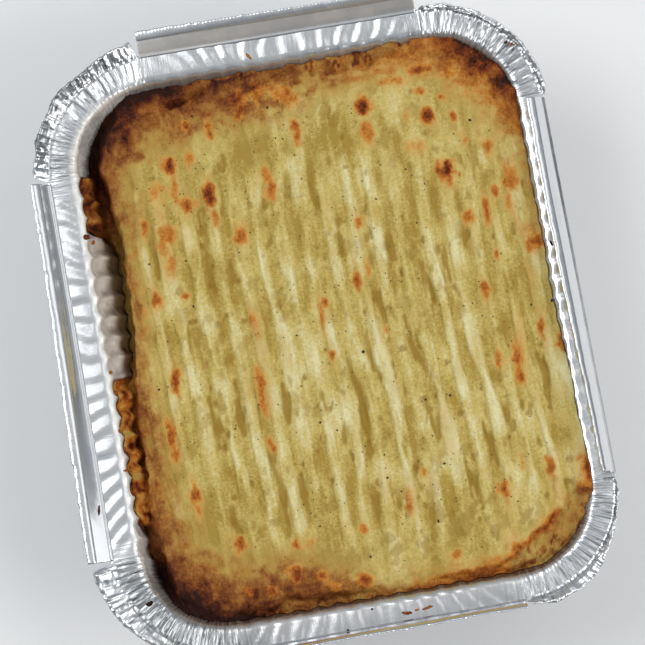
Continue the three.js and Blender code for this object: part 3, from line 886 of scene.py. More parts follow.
# Round the edge by zone, from the -Y end of the +X side anticlockwise: how brown the rim is at
# the wall and how wide it is, and how brown the stain inside it is and how far it spreads.
CRUST_BY_ZONE = (
    (0, 0.15, 1, 0.1, 4), (0.3, 0.1, 1, 0.08, 4), (0.6, 0.15, 1, 0.1, 5), (0.85, 0.38, 1, 0.2, 9),
    (1.05, 0.8, 2, 0.5, 12), (1.15, 0.88, 2.5, 0.6, 14), (1.5, 0.92, 5.5, 0.48, 18),
    (1.7, 0.92, 3.5, 0.48, 17), (1.9, 0.7, 3, 0.44, 14), (2.1, 0.54, 3.5, 0.32, 12),
    (2.35, 0.62, 4, 0.4, 13), (2.5, 0.5, 2, 0.42, 22), (2.7, 0.7, 5.5, 0.56, 18),
    (2.9, 0.95, 3, 0.6, 20), (3.1, 1, 5, 0.62, 21), (3.5, 1.04, 7, 0.68, 22), (3.8, 1, 7, 0.58, 20),
    (4.05, 0.85, 7.5, 0.4, 18), (4.2, 0.7, 6, 0.4, 17), (4.4, 0.65, 6, 0.36, 14),
    (4.6, 0.72, 5.5, 0.44, 13), (4.85, 0.7, 4, 0.44, 15), (5, 0.85, 5, 0.42, 18),
    (5.1, 0.98, 7, 0.58, 22), (5.5, 1.06, 7, 0.66, 25), (5.7, 1.02, 4, 0.72, 24),
    (6.1, 1, 2.5, 0.7, 21), (6.3, 0.82, 3.5, 0.56, 18), (6.5, 0.58, 1.5, 0.3, 14),
    (6.7, 0.64, 2, 0.24, 10), (6.9, 0.7, 2.5, 0.42, 7), (7.1, 0.52, 3, 0.4, 10),
    (7.5, 0.54, 3, 0.48, 12), (7.75, 0.7, 3, 0.38, 9), (7.9, 0.7, 2.5, 0.3, 6),
)
# A torn seam runs inside the +Y and -Y walls and round the -Y end of +X: how far in, how deep,
# and how much lower the mash lies outside it.
SEAM_BY_ZONE = (
    (1.95, 1, 0, 0), (2.08, 1, 0.6, 0.2), (2.21, 2.4, 1.9, 0.7), (2.28, 2.9, 2.2, 0.8),
    (2.36, 2.1, 1.8, 0.6), (2.5, 0.7, 1.4, 0.1), (2.65, 0.7, 1.4, 0.1), (2.79, 1.5, 1.8, 0.5),
    (2.88, 3.9, 2, 0.9), (2.98, 5.2, 1.5, 0.8), (3.15, 5.6, 0, 0), (6, 1, 0, 0),
    (6.12, 1.5, 1.2, 0.9), (6.19, 2.9, 1.4, 1.5), (6.31, 2.6, 1.4, 1.5), (6.42, 1.4, 1, 0.9),
    (6.55, 0.6, 0.3, 0.2), (6.8, 0.8, 0.4, 0.3), (6.94, 1.8, 0.8, 0.8), (7.02, 4.3, 0.7, 1),
    (7.2, 5.7, 0.7, 1.1), (7.45, 5.5, 0.8, 1.2), (7.69, 5.2, 0.9, 1.1), (7.88, 4, 0.5, 0.4),
    (7.99, 2, 0, 0),
)
# How far the mash outside the seam is left pale and wet.
TERRACE_BY_ZONE = (
    (1.95, 0), (2.05, 0.8), (2.4, 0.8), (2.55, 0.3), (2.7, 0.7), (2.8, 0.7), (2.88, 0.2), (2.95, 0),
    (6.05, 0), (6.15, 0.55), (6.45, 0.6), (6.6, 0), (6.95, 0), (7.1, 0.7), (7.85, 0.75), (7.95, 0),
)
# From the +Y end of -X round to its -Y end the edge is sunk: how far below the top, how wide
# its floor is, how wide the slope up from it, and how brown the floor.
SUNK_BY_ZONE = (
    (3.1, 0, 0, 3, 0.95), (3.35, 3, 0.8, 3.4, 0.96), (3.6, 5.5, 1.4, 3.8, 0.98),
    (3.85, 7, 2.2, 3.4, 0.92), (3.98, 8, 3.6, 2.4, 0.84), (4.05, 8, 5, 1.8, 0.74),
    (4.13, 10, 5.6, 1.8, 0.5), (4.2, 13.5, 5.4, 2.2, 0.34), (4.4, 12, 4.9, 2.2, 0.28),
    (4.48, 8, 4.2, 1.8, 0.42), (4.55, 4.5, 3.4, 1.2, 0.5), (4.66, 4.5, 2.7, 1.2, 0.62),
    (4.75, 4.5, 2.5, 1, 0.66), (4.85, 2.5, 2.2, 1, 0.56), (4.93, 4, 2.4, 1.4, 0.6),
    (5, 6, 2.8, 1.8, 0.7), (5.1, 7.5, 2.4, 2.2, 0.94), (5.3, 5, 1.2, 3, 1), (5.45, 2, 0.3, 3, 1),
    (5.6, 0, 0, 3, 1),
)
# Where crust clings to the wall beside the sunk edge, 0 or 1.
CLING_BY_ZONE = (
    (3.9, 0), (4, 1), (4.13, 1), (4.15, 0), (4.5, 0), (4.54, 1), (4.9, 1), (4.93, 0),
)
LEAN_WIDTH = 7.5  # how far in the mash is drawn with the sloping wall
FILL_WIDTH = 3  # how far in it is drawn out to fill the flutes
DULL_PATCHES = ((-50, 62, 34), (-50, -62, 31))  # where the mash is darker: place and width


def mash_sizes(t):
    """The mash's sizes in millimetres, with its outline inside the tray's wall."""
    m = millimetres(bpy.context.scene.foil_mash)
    m.side_inset = wall_inset(t, m.level) + FIT_GAP
    m.side_radius = t.corner_radius - m.side_inset
    m.half_x = t.ledge_width / 2 - m.side_inset
    return m


def half_length(t, m, x):
    """How far the mash reaches along Y at a place across it."""
    beyond = np.maximum(0, np.abs(x) - t.core_x)
    return t.core_y + np.sqrt(np.maximum(0, m.side_radius**2 - beyond**2))


def fork_furrows(m, x, y):
    """Fork furrows along Y. The ridges are flat bands a pitch apart, whose width and strength
    vary and whose sides are steep, with a thin raised line on some. They wander, break off and
    die out towards both ends. Returns how far up a ridge a place is, the thin lines, and the
    deep furrows, each from 0 to about 1."""
    wander = 1.2 * np.sin(y / 21 + 0.6) + 0.3 * np.sin(y / 9 + x / 14)
    wander = wander + 0.9 * noise(x / 9, y / 24, 71) + 0.2 * noise(x / 3.2, y / 5, 72)
    phase = (x + wander) / m.furrow_pitch
    ridge = np.round(phase)
    offset = (phase - ridge) * m.furrow_pitch
    calm = 1 - 0.8 * smooth((np.abs(y + 6) - 36) / 18)
    calm = calm * (1 - 0.35 * smooth((x - 12) / 14) * smooth((y - 8) / 16))
    width = 1.4 + 0.55 * noise(ridge * 2.3, y / 10, 75) + 0.25 * noise(ridge * 9.1, y / 2.4, 76)
    softness = 0.6 + 0.35 * noise(x / 5, y / 9, 78)
    strength = 0.72 + 0.5 * noise(ridge * 3.7, y / 15, 73) + 0.3 * noise(ridge * 5.1, y / 5, 74)
    band = smooth((width - np.abs(offset)) / softness + 0.5) * np.clip(strength, 0, 1.1)
    line_at = 0.9 * noise(ridge * 4.4, y / 8, 77)
    line = bump((offset - line_at) / 0.42) * smooth(noise(ridge * 7.7, y / 11, 79) * 2 + 0.6)
    furrow = np.floor(phase)
    middle = (phase - furrow - 0.5) * m.furrow_pitch + 0.5 * noise(furrow * 3.1, y / 6, 83)
    deep_width = 0.75 + 0.35 * noise(furrow * 6.2, y / 3.5, 84)
    deep = smooth((noise(furrow * 5.3, y / 9, 85) + 0.3 * noise(x, y / 3, 86) - 0.22) / 0.3)
    deep = deep * smooth((deep_width - np.abs(middle)) / 0.55 + 0.5)
    return band * calm, line * calm, deep * calm


def spot_shade(x, y):
    """Shade of the browned spots: a soft ellipse each, longer along Y, with an uneven edge, and
    a faint glow that runs on along its ridge. Returns both."""
    edge = 0.45 * layered(x / 1.3, y / 2, 81, 3)
    shade, glow = np.zeros_like(x), np.zeros_like(x)
    for px, py, half_width, half_height, depth in BROWNED:
        away = np.hypot((x - px) / (half_width + 0.2), (y - py) / (half_height + 0.3))
        shade = np.maximum(shade, 0.92 * depth * smooth((2 - away + 1.1 * edge) / 2))
        around = bump((x - px) / (half_width + 0.8)) * bump((y - py) / (half_height + 3.6))
        glow = np.maximum(glow, 0.42 * depth * around)
    return shade, glow


def crust_shade(zone, inset, rough):
    """How brown the crust is: by straight lines from the rim's shade at the wall to the stain's
    at the rim's inner side and to none at its reach, with an uneven edge."""
    rim, width, stain, reach = by_zone(zone, CRUST_BY_ZONE)
    away = np.maximum(inset + rough, 0)
    inner = stain * np.clip((reach - away) / (reach - width), 0, 1)
    crust = np.where(away < width, mix(rim, stain, away / width), inner)
    return crust + 0.22 * rough * smooth(crust * 3)


def upper_crust(zone):
    """1 where the crust clings near the +Y end of the -X wall, and 0 nearer its middle."""
    return smooth((4.3 - zone) / 0.2)


def clinging_crust(m, x, y, inset, zone):
    """Crust left on the wall beside the sunk edge: a lumpy flap that falls away from the wall,
    higher and steeper near +Y, with a ragged end. Returns its height and where it is, 0 to 1."""
    (here,) = by_zone(zone, CLING_BY_ZONE)
    ragged = 0.7 * noise(x / 1.5, y / 2.1, 111) + 0.7 * noise(0, y / 1.3, 112)
    end = 2.3 + 1.3 * ragged
    upper = upper_crust(zone)
    lumps = 0.6 * layered(x / 1.2, y / 1.6, 113, 3)
    height = m.level - 0.2 + 1.3 * upper - (1.3 + 0.4 * upper) * inset + lumps
    return height, smooth((here - 0.5) / 0.3) * smooth((end - inset) / 0.7 + 0.5)


def pasty_top(m, x, y):
    """The open top, away from the walls: the level, a slope to +X and a gentle swell, plus
    furrows, pasty steps and strokes along Y, lumps, pits where moist mash shows, and a slight
    rise under each browned spot. Returns the height and what it was made from."""
    swell = 0.4 * np.sin(x / 17 + 1) * np.cos(y / 23 - 0.4)
    band, line, deep = fork_furrows(m, x, y)
    bend = 0.8 * noise(x / 6, y / 9, 91) + 0.3 * noise(x / 2.3, y / 3, 90)
    steps = np.tanh(3.4 * layered((x + bend) / 2.6, y / 9, 92, 2))
    strokes = np.abs(layered((x + bend) / 1.5, y / 7.5, 89, 2))
    lumps = layered(x / 4.2, y / 5.2, 93, 3)
    fine = layered(x / 1.2, y / 1.7, 94, 2)
    ends = smooth((np.abs(y) - 40) / 16)
    patch = noise((x + bend) / 1.7, y / 2.6, 95) + 0.4 * noise(x / 0.9, y / 1.6, 96)
    pits = smooth((patch - 0.7) / 0.2) * (1 - 0.5 * band)
    ruffle = 0.35 * noise(x / 1.4, y / 1.4, 107)
    deep_in, number = cells((x + bend) / 3.1 + ruffle, y / 4.2 + ruffle, 106)
    soaked = smooth((deep_in - 0.1) / 0.22) * smooth((number - 0.84 + 0.06 * ends) / 0.05)
    pits = np.maximum(pits, (0.5 + 0.25 * ends) * soaked)
    spots, glow = spot_shade(x, y)
    z = m.level + m.tilt * x / m.half_x + swell
    z = z + m.furrow_depth * (0.85 * band - 0.42 - 0.6 * deep) + 0.24 * line
    z = z + 0.1 * steps - 0.3 * (0.4 - np.minimum(strokes, 0.4))
    z = z + 0.15 * lumps * (1 + ends) + 0.07 * fine - 0.4 * pits + 0.25 * smooth(spots * 1.4)
    return SimpleNamespace(
        z=z, band=band, line=line, deep=deep, steps=steps, lumps=lumps, pits=pits, spots=spots,
        glow=glow,
    )


def torn_seam(zone, inset, x, y):
    """The seam inside the wall and the uneven mash outside it. Returns how far in from the
    seam a place lies, the seam's depth, its cleft and where the mash is outside it, each from
    0 to 1 or a little over, and how far that mash is raised."""
    wavy = 0.7 * noise(x / 3.6, y / 3.6, 97) + 0.35 * noise(x / 1.3, y / 1.3, 98)
    line, depth, drop = by_zone(zone, SEAM_BY_ZONE)
    away = inset - line - wavy
    torn = np.clip(0.5 + 1.1 * noise(x / 2.4, y / 2.4, 99) + 0.5 * noise(x, y, 88), 0, 1.5)
    cleft = torn * bump(away / (0.45 + 0.3 * torn))
    outside = smooth((line + wavy - inset + 0.4) / 1.1) * smooth(depth * 2)
    knobs = 0.55 * noise(x / 2.2, y / 2.2, 100) + 0.3 * noise(x / 1.1, y / 1.1, 87)
    return SimpleNamespace(
        away=away, depth=depth, cleft=cleft, outside=outside, rise=outside * (knobs - drop)
    )


def sunk_edge(zone, inset, x, y):
    """The sunk edge along -X: its depth, how far a place lies in it from 0 to 1, how brown its
    floor is, and where its floor and slope end."""
    depth, floor_width, flank, shade = by_zone(zone, SUNK_BY_ZONE)
    jagged = 0.6 * noise(x / 2, y / 4.4, 104) + 0.3 * noise(x / 1.1, y / 1.7, 105)
    share = 1 - smooth((inset + jagged * smooth(depth / 4) - floor_width) / flank)
    share = share * smooth(depth / 2)
    return SimpleNamespace(depth=depth, share=share, shade=shade, end=floor_width + flank)


def mash_surface(t, m, x, y):
    """The top of the mash over any place: its height and the masks for its finish. The height
    is the open top, plus the climb or drop at the wall, the seam inside it, crumbs of crust,
    the sunk edge along -X and the crust that clings to the wall there."""
    near = place_near(t, x, y)
    inset = near.inset - m.side_inset
    top = pasty_top(m, x, y)
    climb = m.edge_rise * np.maximum(np.maximum(near.nx, near.ny), 0)
    climb = climb + m.edge_drop * np.minimum(np.minimum(near.nx, near.ny), 0)
    height = top.z + climb * (1 - smooth(inset / m.edge_width))
    seam = torn_seam(near.zone, inset, x, y)
    height = height - seam.depth * seam.cleft + seam.rise
    along_wall = layered(inset / 0.8, near.zone * 13, 115, 3)
    rough = 0.7 * layered(x / 2.4, y / 2.4, 101, 4) + 0.45 * along_wall * smooth((9 - inset) / 4)
    crust = crust_shade(near.zone, inset, rough)
    height = height + 0.35 * layered(x / 1.5, y / 1.5, 103, 2) * smooth(crust * 2)
    sunk = sunk_edge(near.zone, inset, x, y)
    height = height - sunk.depth * sunk.share + 0.5 * sunk.share * top.lumps
    cling_height, cling = clinging_crust(m, x, y, inset, near.zone)
    height = mix(height, np.maximum(height, cling_height), cling)

    # How brown it is: by the crust, by toast on the ridges and by the browned spots.
    toasted = smooth(0.15 + 0.9 * layered(x / 6, y / 14, 102, 2))
    outer = smooth((np.hypot(x / 54, y / 66) - 0.7) / 0.5)
    toast = (0.2 + 0.12 * outer) * smooth(1.3 * top.band - 0.2) * toasted
    toast = toast + top.glow * smooth(0.4 + top.band) + 0.2 * outer * smooth(0.5 + top.lumps)
    brown = np.maximum(crust, toast) + 0.4 * np.minimum(crust, toast)
    brown = np.maximum(top.spots, brown)
    baked = smooth((crust - top.spots + 0.12) / 0.3) * mix(1, 0.4, smooth((x + 5) / 35))

    # The floor of the sunk edge and the clinging crust.
    shown = np.clip(sunk.share * (1 - cling) * 1.3, 0, 1) * (near.inset < 20)
    brown = mix(brown, sunk.shade + 0.06 * rough, shown)
    baked = np.maximum(baked, smooth(sunk.depth / 4) * smooth((sunk.end + 3 - inset) / 2))
    upper = upper_crust(near.zone)
    baked = mix(baked, 0.15 + 0.5 * upper, cling)
    patches = layered(x / 1.3, y / 1.6, 114, 3)
    brown = mix(brown, 0.57 + 0.16 * upper + 0.36 * patches, cling)

    # The seam, singed along -Y and +X, and the paler terrace outside it.
    singed = smooth((near.zone - 6.5) / 0.3) * smooth((7.85 - near.zone) / 0.2)
    singed = singed * smooth(seam.depth * 4) * bump((seam.away - 0.5) / 1.3)
    brown = np.maximum(brown, (0.66 + 0.12 * rough) * singed)
    baked = mix(baked, 0.1, singed)
    baked = np.maximum(baked, seam.outside * smooth((near.zone - 6.9) / 0.1))
    terrace = seam.outside * np.clip(by_zone(near.zone, TERRACE_BY_ZONE)[0], 0, 1)
    dots = smooth((noise(x / 0.8, y / 0.8, 117) + 0.5 * noise(x / 2.2, y / 2.2, 118) - 0.42) / 0.2)
    far = 0.14 * (near.ny > 0.5) + 0.06 * (near.zone < 6.9)
    brown = mix(brown, 0.22 + far + 0.1 * rough + 0.38 * dots, terrace)
    baked = np.maximum(baked, terrace)

    wet = np.maximum(0.8 * top.pits, 0.75 * top.deep) * (1 - smooth(brown * 1.6))
    wet = np.maximum(wet, np.clip(seam.depth * seam.cleft, 0, 1))
    wet = np.maximum(wet, 0.8 * terrace)
    darkening = sum(bump(np.hypot(x - px, y - py) / width) for px, py, width in DULL_PATCHES)
    darkening = 0.62 * darkening + 0.3 * smooth((x + 5) / -30) * smooth((14 - inset) / 12)
    # Lighter on the ridges, their thin lines, steps and lumps, partly the mash's own paler tone and
    # partly painted highlight; darker in the deep furrows, partly painted shade, and where the
    # darkening lies.
    crest_tone_and_highlight = 0.5 * top.band + 0.35 * top.line + 0.12 * top.steps - 0.3 * top.deep
    crest_tone_and_highlight = crest_tone_and_highlight + 0.1 * top.lumps - darkening
    return SimpleNamespace(
        z=height, brown=np.clip(brown, 0, 1.1), wet=np.clip(wet, 0, 1), crest_tone_and_highlight=crest_tone_and_highlight, baked=baked
    )


def seated(t, m, x, y, z):
    """Moves the top's edge to the foil at its own height, at the innermost place of the foil
    close by: outwards, so that it fills the flutes, or inwards with the sloping wall where it
    is sunk."""
    near = place_near(t, x, y)
    inset = near.inset - m.side_inset
    share = np.interp(z, t.shoulder_heights, (1, 0.66, 0.12))
    places = [SimpleNamespace(zone=near.zone + step, x=near.x, y=near.y) for step in CUSP_STEPS]
    bulge = np.min([wall_bulge(t, place, z) for place in places], axis=0)
    away = m.side_inset - TOUCH_GAP - foil_inset(t, z) + bulge * share
    outwards = np.maximum(away, 0) * (1 - smooth(inset / FILL_WIDTH))
    inwards = np.minimum(away, 0) * np.maximum(0, 1 - inset / LEAN_WIDTH)
    push = outwards + inwards
    return x + near.nx * push, y + near.ny * push


def build_mash(t, m):
    """The pie as one closed solid: the top as a grid whose columns run the length of the pie
    and which crowds towards the walls, the side down the wall, and the bottom."""

    def crowded(count, share):
        s = np.linspace(-1, 1, count)
        return (1 - share) * s + share * np.sin(math.pi * s / 2)

    x = m.half_x * crowded(MASH_COLUMNS, 0.35)[:, None]
    y = crowded(MASH_ROWS, 0.15) * half_length(t, m, x)
    x = np.broadcast_to(x, y.shape).copy()
    top = mash_surface(t, m, x, y)
    px, py = seated(t, m, x, y, top.z)
    points = np.stack([px, py, top.z], axis=-1).reshape(-1, 3)

    ids = np.arange(x.size).reshape(x.shape)
    rim = np.concatenate([ids[:-1, 0], ids[-1, :-1], ids[:0:-1, -1], ids[0, :0:-1]])
    near = place_near(t, x.ravel()[rim], y.ravel()[rim])

    def ring(inset, z):
        return np.stack([near.x - near.nx * inset, near.y - near.ny * inset, z], axis=-1)

    sides = []
    for k, level in enumerate((*SIDE_LEVELS, t.wall_foot + 0.4)):
        z = np.minimum(level, points[rim, 2] - 0.2 * (k + 1))
        sides.append(ring(wall_inset(t, z) + SIDE_GAP - wall_bulge(t, near, z), z))
    for inset, rise in ((t.foot_inset, t.foot_height), (t.base_inset, 0)):
        sides.append(ring(inset + SIDE_GAP, np.full(len(rim), PIE_FOOT + rise)))
    count = len(rim)
    order = np.arange(count)
    bands = [np.stack([rim, np.roll(rim, -1)])] + [
        x.size + k * count + np.stack([order, (order + 1) % count]) for k in range(len(sides))
    ]
    walls = [
        np.stack([above[0], below[0], below[1], above[1]], axis=1)
        for above, below in zip(bands, bands[1:])
    ]
    points = np.concatenate([points, *sides, [[0, 0, PIE_FOOT]]])
    bottom = [(len(points) - 1, int(b), int(a)) for a, b in bands[-1].T]
    quads = np.concatenate([grid_quads(MASH_COLUMNS, MASH_ROWS), *walls])
    masks = {
        key: np.append(getattr(top, key), np.full(len(points) - x.size, lower_down))
        for key, lower_down in (("brown", 0.55), ("wet", 0), ("crest_tone_and_highlight", 0), ("baked", 0.8))
    }
    return make_object("mashed_potato_pie", points, quads, bottom, masks)


# ---- Pepper and crumbs ----

PEPPER_FINE = 640  # fine grains, strewn
PEPPER_HEARTS = 90  # in so many loose groups
PEPPER_SPREAD = 7
PEPPER_SIZES = (0.16, 0.42)
# The larger grains: place and diameter.
PEPPER_COARSE = (
    (42.7, 44.9, 1), (6.8, -6.9, 1.2), (17.3, -50.7, 1.1), (-5.5, 56.9, 0.9), (54, -2.8, 0.9),
    (-31.8, 11.7, 0.9), (25.6, -21.1, 0.8), (21.3, -37.2, 0.9), (7.1, -38.2, 0.8),
    (-0.3, -56.2, 0.8), (-24, 58.2, 0.7), (-40.6, 23.8, 0.7), (-31.6, 23, 0.7),
    (-44.7, 48.5, 0.6), (-18.5, 22.7, 0.6), (46.8, 41.5, 0.6), (25, 35.7, 0.6), (28.9, 31.2, 0.6),
    (16.6, 29.6, 0.7), (38.1, 42.2, 0.5), (44.1, 10.9, 0.5), (49, -2.7, 0.6), (-43.5, -7, 0.7),
    (-8.3, 0, 0.7), (-6.5, -22, 0.7), (24.3, -11.8, 0.7), (19.6, -21, 0.7), (19.6, -30.1, 0.6),
    (-2.8, -24.6, 0.7), (7.4, -32.5, 0.6), (37, -49.4, 0.6),
)
# Bits baked on to the foil: place, height of the foil, length, width, thickness, turn in degrees
# and shade.
BAKED_ON = (
    (-7.9, 69.7, 38.2, 2.8, 0.7, 0.5, 125, 0.5), (-54.4, 32.3, 37.9, 2.2, 1.6, 0.7, 160, 0.8),
    (-53.1, 31, 36.4, 1.4, 1.2, 0.8, 60, 0.6), (54.6, 61.7, 39.2, 1.3, 1, 0.6, 30, 0.95),
    (55.9, 60.9, 39.4, 1.2, 1, 0.6, 60, 0.55), (56.4, 10.9, 38.1, 1.9, 0.8, 0.3, 100, 1),
    # The darkest flake, at -54.5, -58.4, is painted shade: a dark mark in a pleat of the crimped
    # corner.
    (-62.7, -34.2, 38.6, 3.8, 0.7, 0.3, 75, 0.85), (-54.5, -58.4, 38.2, 2.4, 1.3, 0.3, 15, 1.1),
    (5.8, -71.5, 38.1, 3, 1, 0.35, 170, 0.7), (10.9, -71.1, 38.1, 3.2, 0.9, 0.35, 12, 0.62),
    (8.3, -71.2, 38.1, 1.6, 0.7, 0.3, 0, 0.5), (-2.3, -69.1, 38.1, 0.8, 0.7, 0.4, 0, 1),
    (-8.9, -73, 38.1, 0.9, 0.5, 0.3, 0, 0.9), (-54.4, -1.5, 37.4, 1.7, 1.1, 0.6, 30, 0.5),
    (-54.3, -6.4, 37.2, 3, 1.5, 0.9, 150, 0.66), (-54.7, -15.9, 37.6, 2.6, 1.4, 0.8, 170, 0.6),
    (-54.9, -25.7, 37.7, 1.9, 1.1, 0.7, 10, 0.55), (-54.2, -20.6, 37, 2.2, 1, 0.7, 80, 0.7),
    (-54.3, -31, 37, 2.4, 1, 0.7, 95, 0.75), (43.5, 66.6, 37.7, 1.5, 0.8, 0.5, 40, 0.9),
    (-54.3, 38, 37, 2.6, 1.1, 0.7, 85, 0.85),
)


ICOSAHEDRON_EDGE = 1.06  # at most, between corners at a distance of 1 from its middle


def icosphere(splits):
    """Corners and outward triangles of an icosahedron whose edges are halved some times."""
    golden = (1 + math.sqrt(5)) / 2
    corners = [
        (a, b * golden, 0) if turn == 0 else (0, a, b * golden) if turn == 1
        else (b * golden, 0, a)
        for turn in range(3) for a in (-1, 1) for b in (-1, 1)
    ]
    corners = [Vector(corner).normalized() for corner in corners]
    faces = []
    for i in range(12):
        for j in range(i + 1, 12):
            for k in range(j + 1, 12):
                a, b, c = corners[i], corners[j], corners[k]
                longest = max((a - b).length, (b - c).length, (c - a).length)
                if longest < ICOSAHEDRON_EDGE:
                    faces.append((i, j, k) if (b - a).cross(c - a).dot(a) > 0 else (i, k, j))
    for _ in range(splits):
        halves, finer = {}, []
        for i, j, k in faces:
            middles = []
            for a, b in ((i, j), (j, k), (k, i)):
                key = (min(a, b), max(a, b))
                if key not in halves:
                    halves[key] = len(corners)
                    corners.append((corners[a] + corners[b]).normalized())
                middles.append(halves[key])
            p, q, r = middles
            finer += [(i, p, r), (j, q, p), (k, r, q), (p, q, r)]
        faces = finer
    return np.array([tuple(corner) for corner in corners]), np.array(faces)


def bits(centres, sizes, turns, splits, unevenness, seed):
    """Small uneven lumps as one array of points and triangles. Each is an icosphere with its
    corners drawn in or out, stretched to its three sizes and turned about Z. Also returns each
    point's lump."""
    corners, faces = icosphere(splits)
    rng = np.random.default_rng(seed)
    count = len(centres)
    drawn = rng.uniform(1 - unevenness, 1 + unevenness, (count, len(corners), 1))
    shape = corners[None] * drawn * np.asarray(sizes)[:, None] / 2
    cosine, sine = np.cos(turns)[:, None], np.sin(turns)[:, None]
    x, y, z = np.moveaxis(shape, -1, 0)
    turned = np.stack([x * cosine - y * sine, x * sine + y * cosine, z], axis=-1)
    points = (np.asarray(centres)[:, None] + turned).reshape(-1, 3)
    triangles = (faces[None] + len(corners) * np.arange(count)[:, None, None]).reshape(-1, 3)
    return points, triangles, np.repeat(np.arange(count), len(corners))


def build_pepper(t, m):
    """Ground pepper: the coarse grains at their places and fine ones strewn in loose groups,
    each sunk a little into the mash."""
    rng = np.random.default_rng(7)
    coarse_x, coarse_y, coarse_size = np.array(PEPPER_COARSE).T
    hearts = rng.uniform((-44, -60), (50, 58), (PEPPER_HEARTS, 2))
    fine = hearts[rng.integers(0, PEPPER_HEARTS, PEPPER_FINE)]
    fine = fine + rng.normal(0, PEPPER_SPREAD, fine.shape)
    fine = fine[(np.abs(fine[:, 0] - 3) < 48) & (np.abs(fine[:, 1]) < 61)]
    x = np.concatenate([coarse_x, fine[:, 0]])
    y = np.concatenate([coarse_y, fine[:, 1]])
    size = np.concatenate([coarse_size * 0.85, rng.uniform(*PEPPER_SIZES, len(fine))])
    z = mash_surface(t, m, x, y).z + 0.1 * size
    sizes = size[:, None] * rng.uniform(0.65, 1.15, (len(x), 3))
    turns = rng.uniform(0, math.pi, len(x))
    points, triangles, _ = bits(np.stack([x, y, z], axis=-1), sizes, turns, 0, 0.2, 8)
    return make_object("ground_pepper", points, [], triangles.tolist())


def build_baked_on():
    """Crumbs, drips and flakes of crust stuck to the foil, and one dark flake that is painted
    shade.
    """
    table = np.array(BAKED_ON)
    turns = np.radians(table[:, 6])
    points, triangles, owner = bits(table[:, :3], 0.75 * table[:, 3:6], turns, 1, 0.3, 9)
    masks = {"brown": table[owner, 7] + 0.04, "wet": 0, "crest_tone_and_highlight": 0.2, "baked": 0.45}
    return make_object("baked_on_crumbs", points, [], triangles.tolist(), masks)


# ---- Materials ----


def feed(tree, socket, value):
    """Gives an input a constant, or links it to another node's socket."""
    if isinstance(value, bpy.types.NodeSocket):
        tree.links.new(value, socket)
    else:
        socket.default_value = value


def node(tree, kind, values=None, **settings):
    """Adds a node. values maps an input's name or number to a constant or another socket."""
    made = tree.nodes.new(kind)
    for key, value in settings.items():
        setattr(made, key, value)
    for key, value in (values or {}).items():
        feed(tree, made.inputs[key], value)
    return made


def object_place(tree):
    """The Object coordinates."""
    return node(tree, "ShaderNodeTexCoord").outputs["Object"]


def attribute(tree, name):
    """A mask of the mesh."""
    return node(tree, "ShaderNodeAttribute", attribute_name=name).outputs["Fac"]


def math_node(tree, operation, first, second=0.0, clamp=False):
    values = {0: first, 1: second}
    return node(tree, "ShaderNodeMath", values, operation=operation, use_clamp=clamp).outputs[0]


def times(tree, first, second, clamp=False):
    """The product of two sockets or numbers."""
    return math_node(tree, "MULTIPLY", first, second, clamp)


def add_up(tree, first, *others):
    """The sum of sockets and numbers."""
    for other in others:
        first = math_node(tree, "ADD", first, other)
    return first


def rescaled(tree, value, low, high, to_low=0.0, to_high=1.0):
    """A value brought from one range into another, and held inside it."""
    values = {"Value": value, 1: low, 2: high, 3: to_low, 4: to_high}
    return node(tree, "ShaderNodeMapRange", values).outputs[0]


def stretched(tree, vector, *scale):
    """Coordinates scaled along each axis."""
    return node(tree, "ShaderNodeMapping", {"Vector": vector, "Scale": scale}).outputs[0]


def noise_at(tree, vector, scale, detail=3.0, roughness=0.55):
    values = {"Vector": vector, "Scale": scale, "Detail": detail, "Roughness": roughness}
    return node(tree, "ShaderNodeTexNoise", values).outputs["Fac"]


def centred(tree, value, strength):
    """A noise about 0.5 brought about 0 and scaled."""
    return times(tree, math_node(tree, "SUBTRACT", value, 0.5), strength)


def relief(tree, height, strength, distance):
    """The shading normal of a height, whose unit is a distance in metres."""
    values = {"Height": height, "Strength": strength, "Distance": distance}
    return node(tree, "ShaderNodeBump", values).outputs[0]


def blend_colours(tree, factor, first, second):
    """A colour mixed from two, each a socket or a linear colour."""
    values = [
        value if isinstance(value, (bpy.types.NodeSocket, float)) else (*value, 1)
        for value in (factor, first, second)
    ]
    blend = node(tree, "ShaderNodeMix", data_type="RGBA")
    for slot, value in zip((0, 6, 7), values):
        feed(tree, blend.inputs[slot], value)
    return blend.outputs[2]


def ramp(tree, factor, stops):
    """A colour ramp from linear colours by their place."""
    made = node(tree, "ShaderNodeValToRGB", {0: factor})
    elements = made.color_ramp.elements
    first, *between, last = stops.items()
    for element, (place, value) in zip(elements, (first, last)):
        element.position, element.color = place, (*value, 1)
    for place, value in between:
        elements.new(place).color = (*value, 1)
    return made.outputs[0]


def baked_grain():
    """Shared grain of baked food, made on first use: a height and a speckle, from the number of
    grains in a metre."""
    if "Baked grain" in bpy.data.node_groups:
        return bpy.data.node_groups["Baked grain"]
    group = bpy.data.node_groups.new("Baked grain", "ShaderNodeTree")
    for name, way in (("Grains per metre", "INPUT"), ("Height", "OUTPUT"), ("Speckle", "OUTPUT")):
        group.interface.new_socket(name, in_out=way, socket_type="NodeSocketFloat")
    entry = group.nodes.new("NodeGroupInput").outputs[0]
    leave = group.nodes.new("NodeGroupOutput")
    place = object_place(group)
    coarse = noise_at(group, stretched(group, place, 1, 0.6, 1), entry, 5.0, 0.62)
    fine = noise_at(group, place, times(group, entry, 3.1), 3.0, 0.6)
    feed(group, leave.inputs["Height"], add_up(group, coarse, times(group, fine, 0.35)))
    feed(group, leave.inputs["Speckle"], fine)
    return group


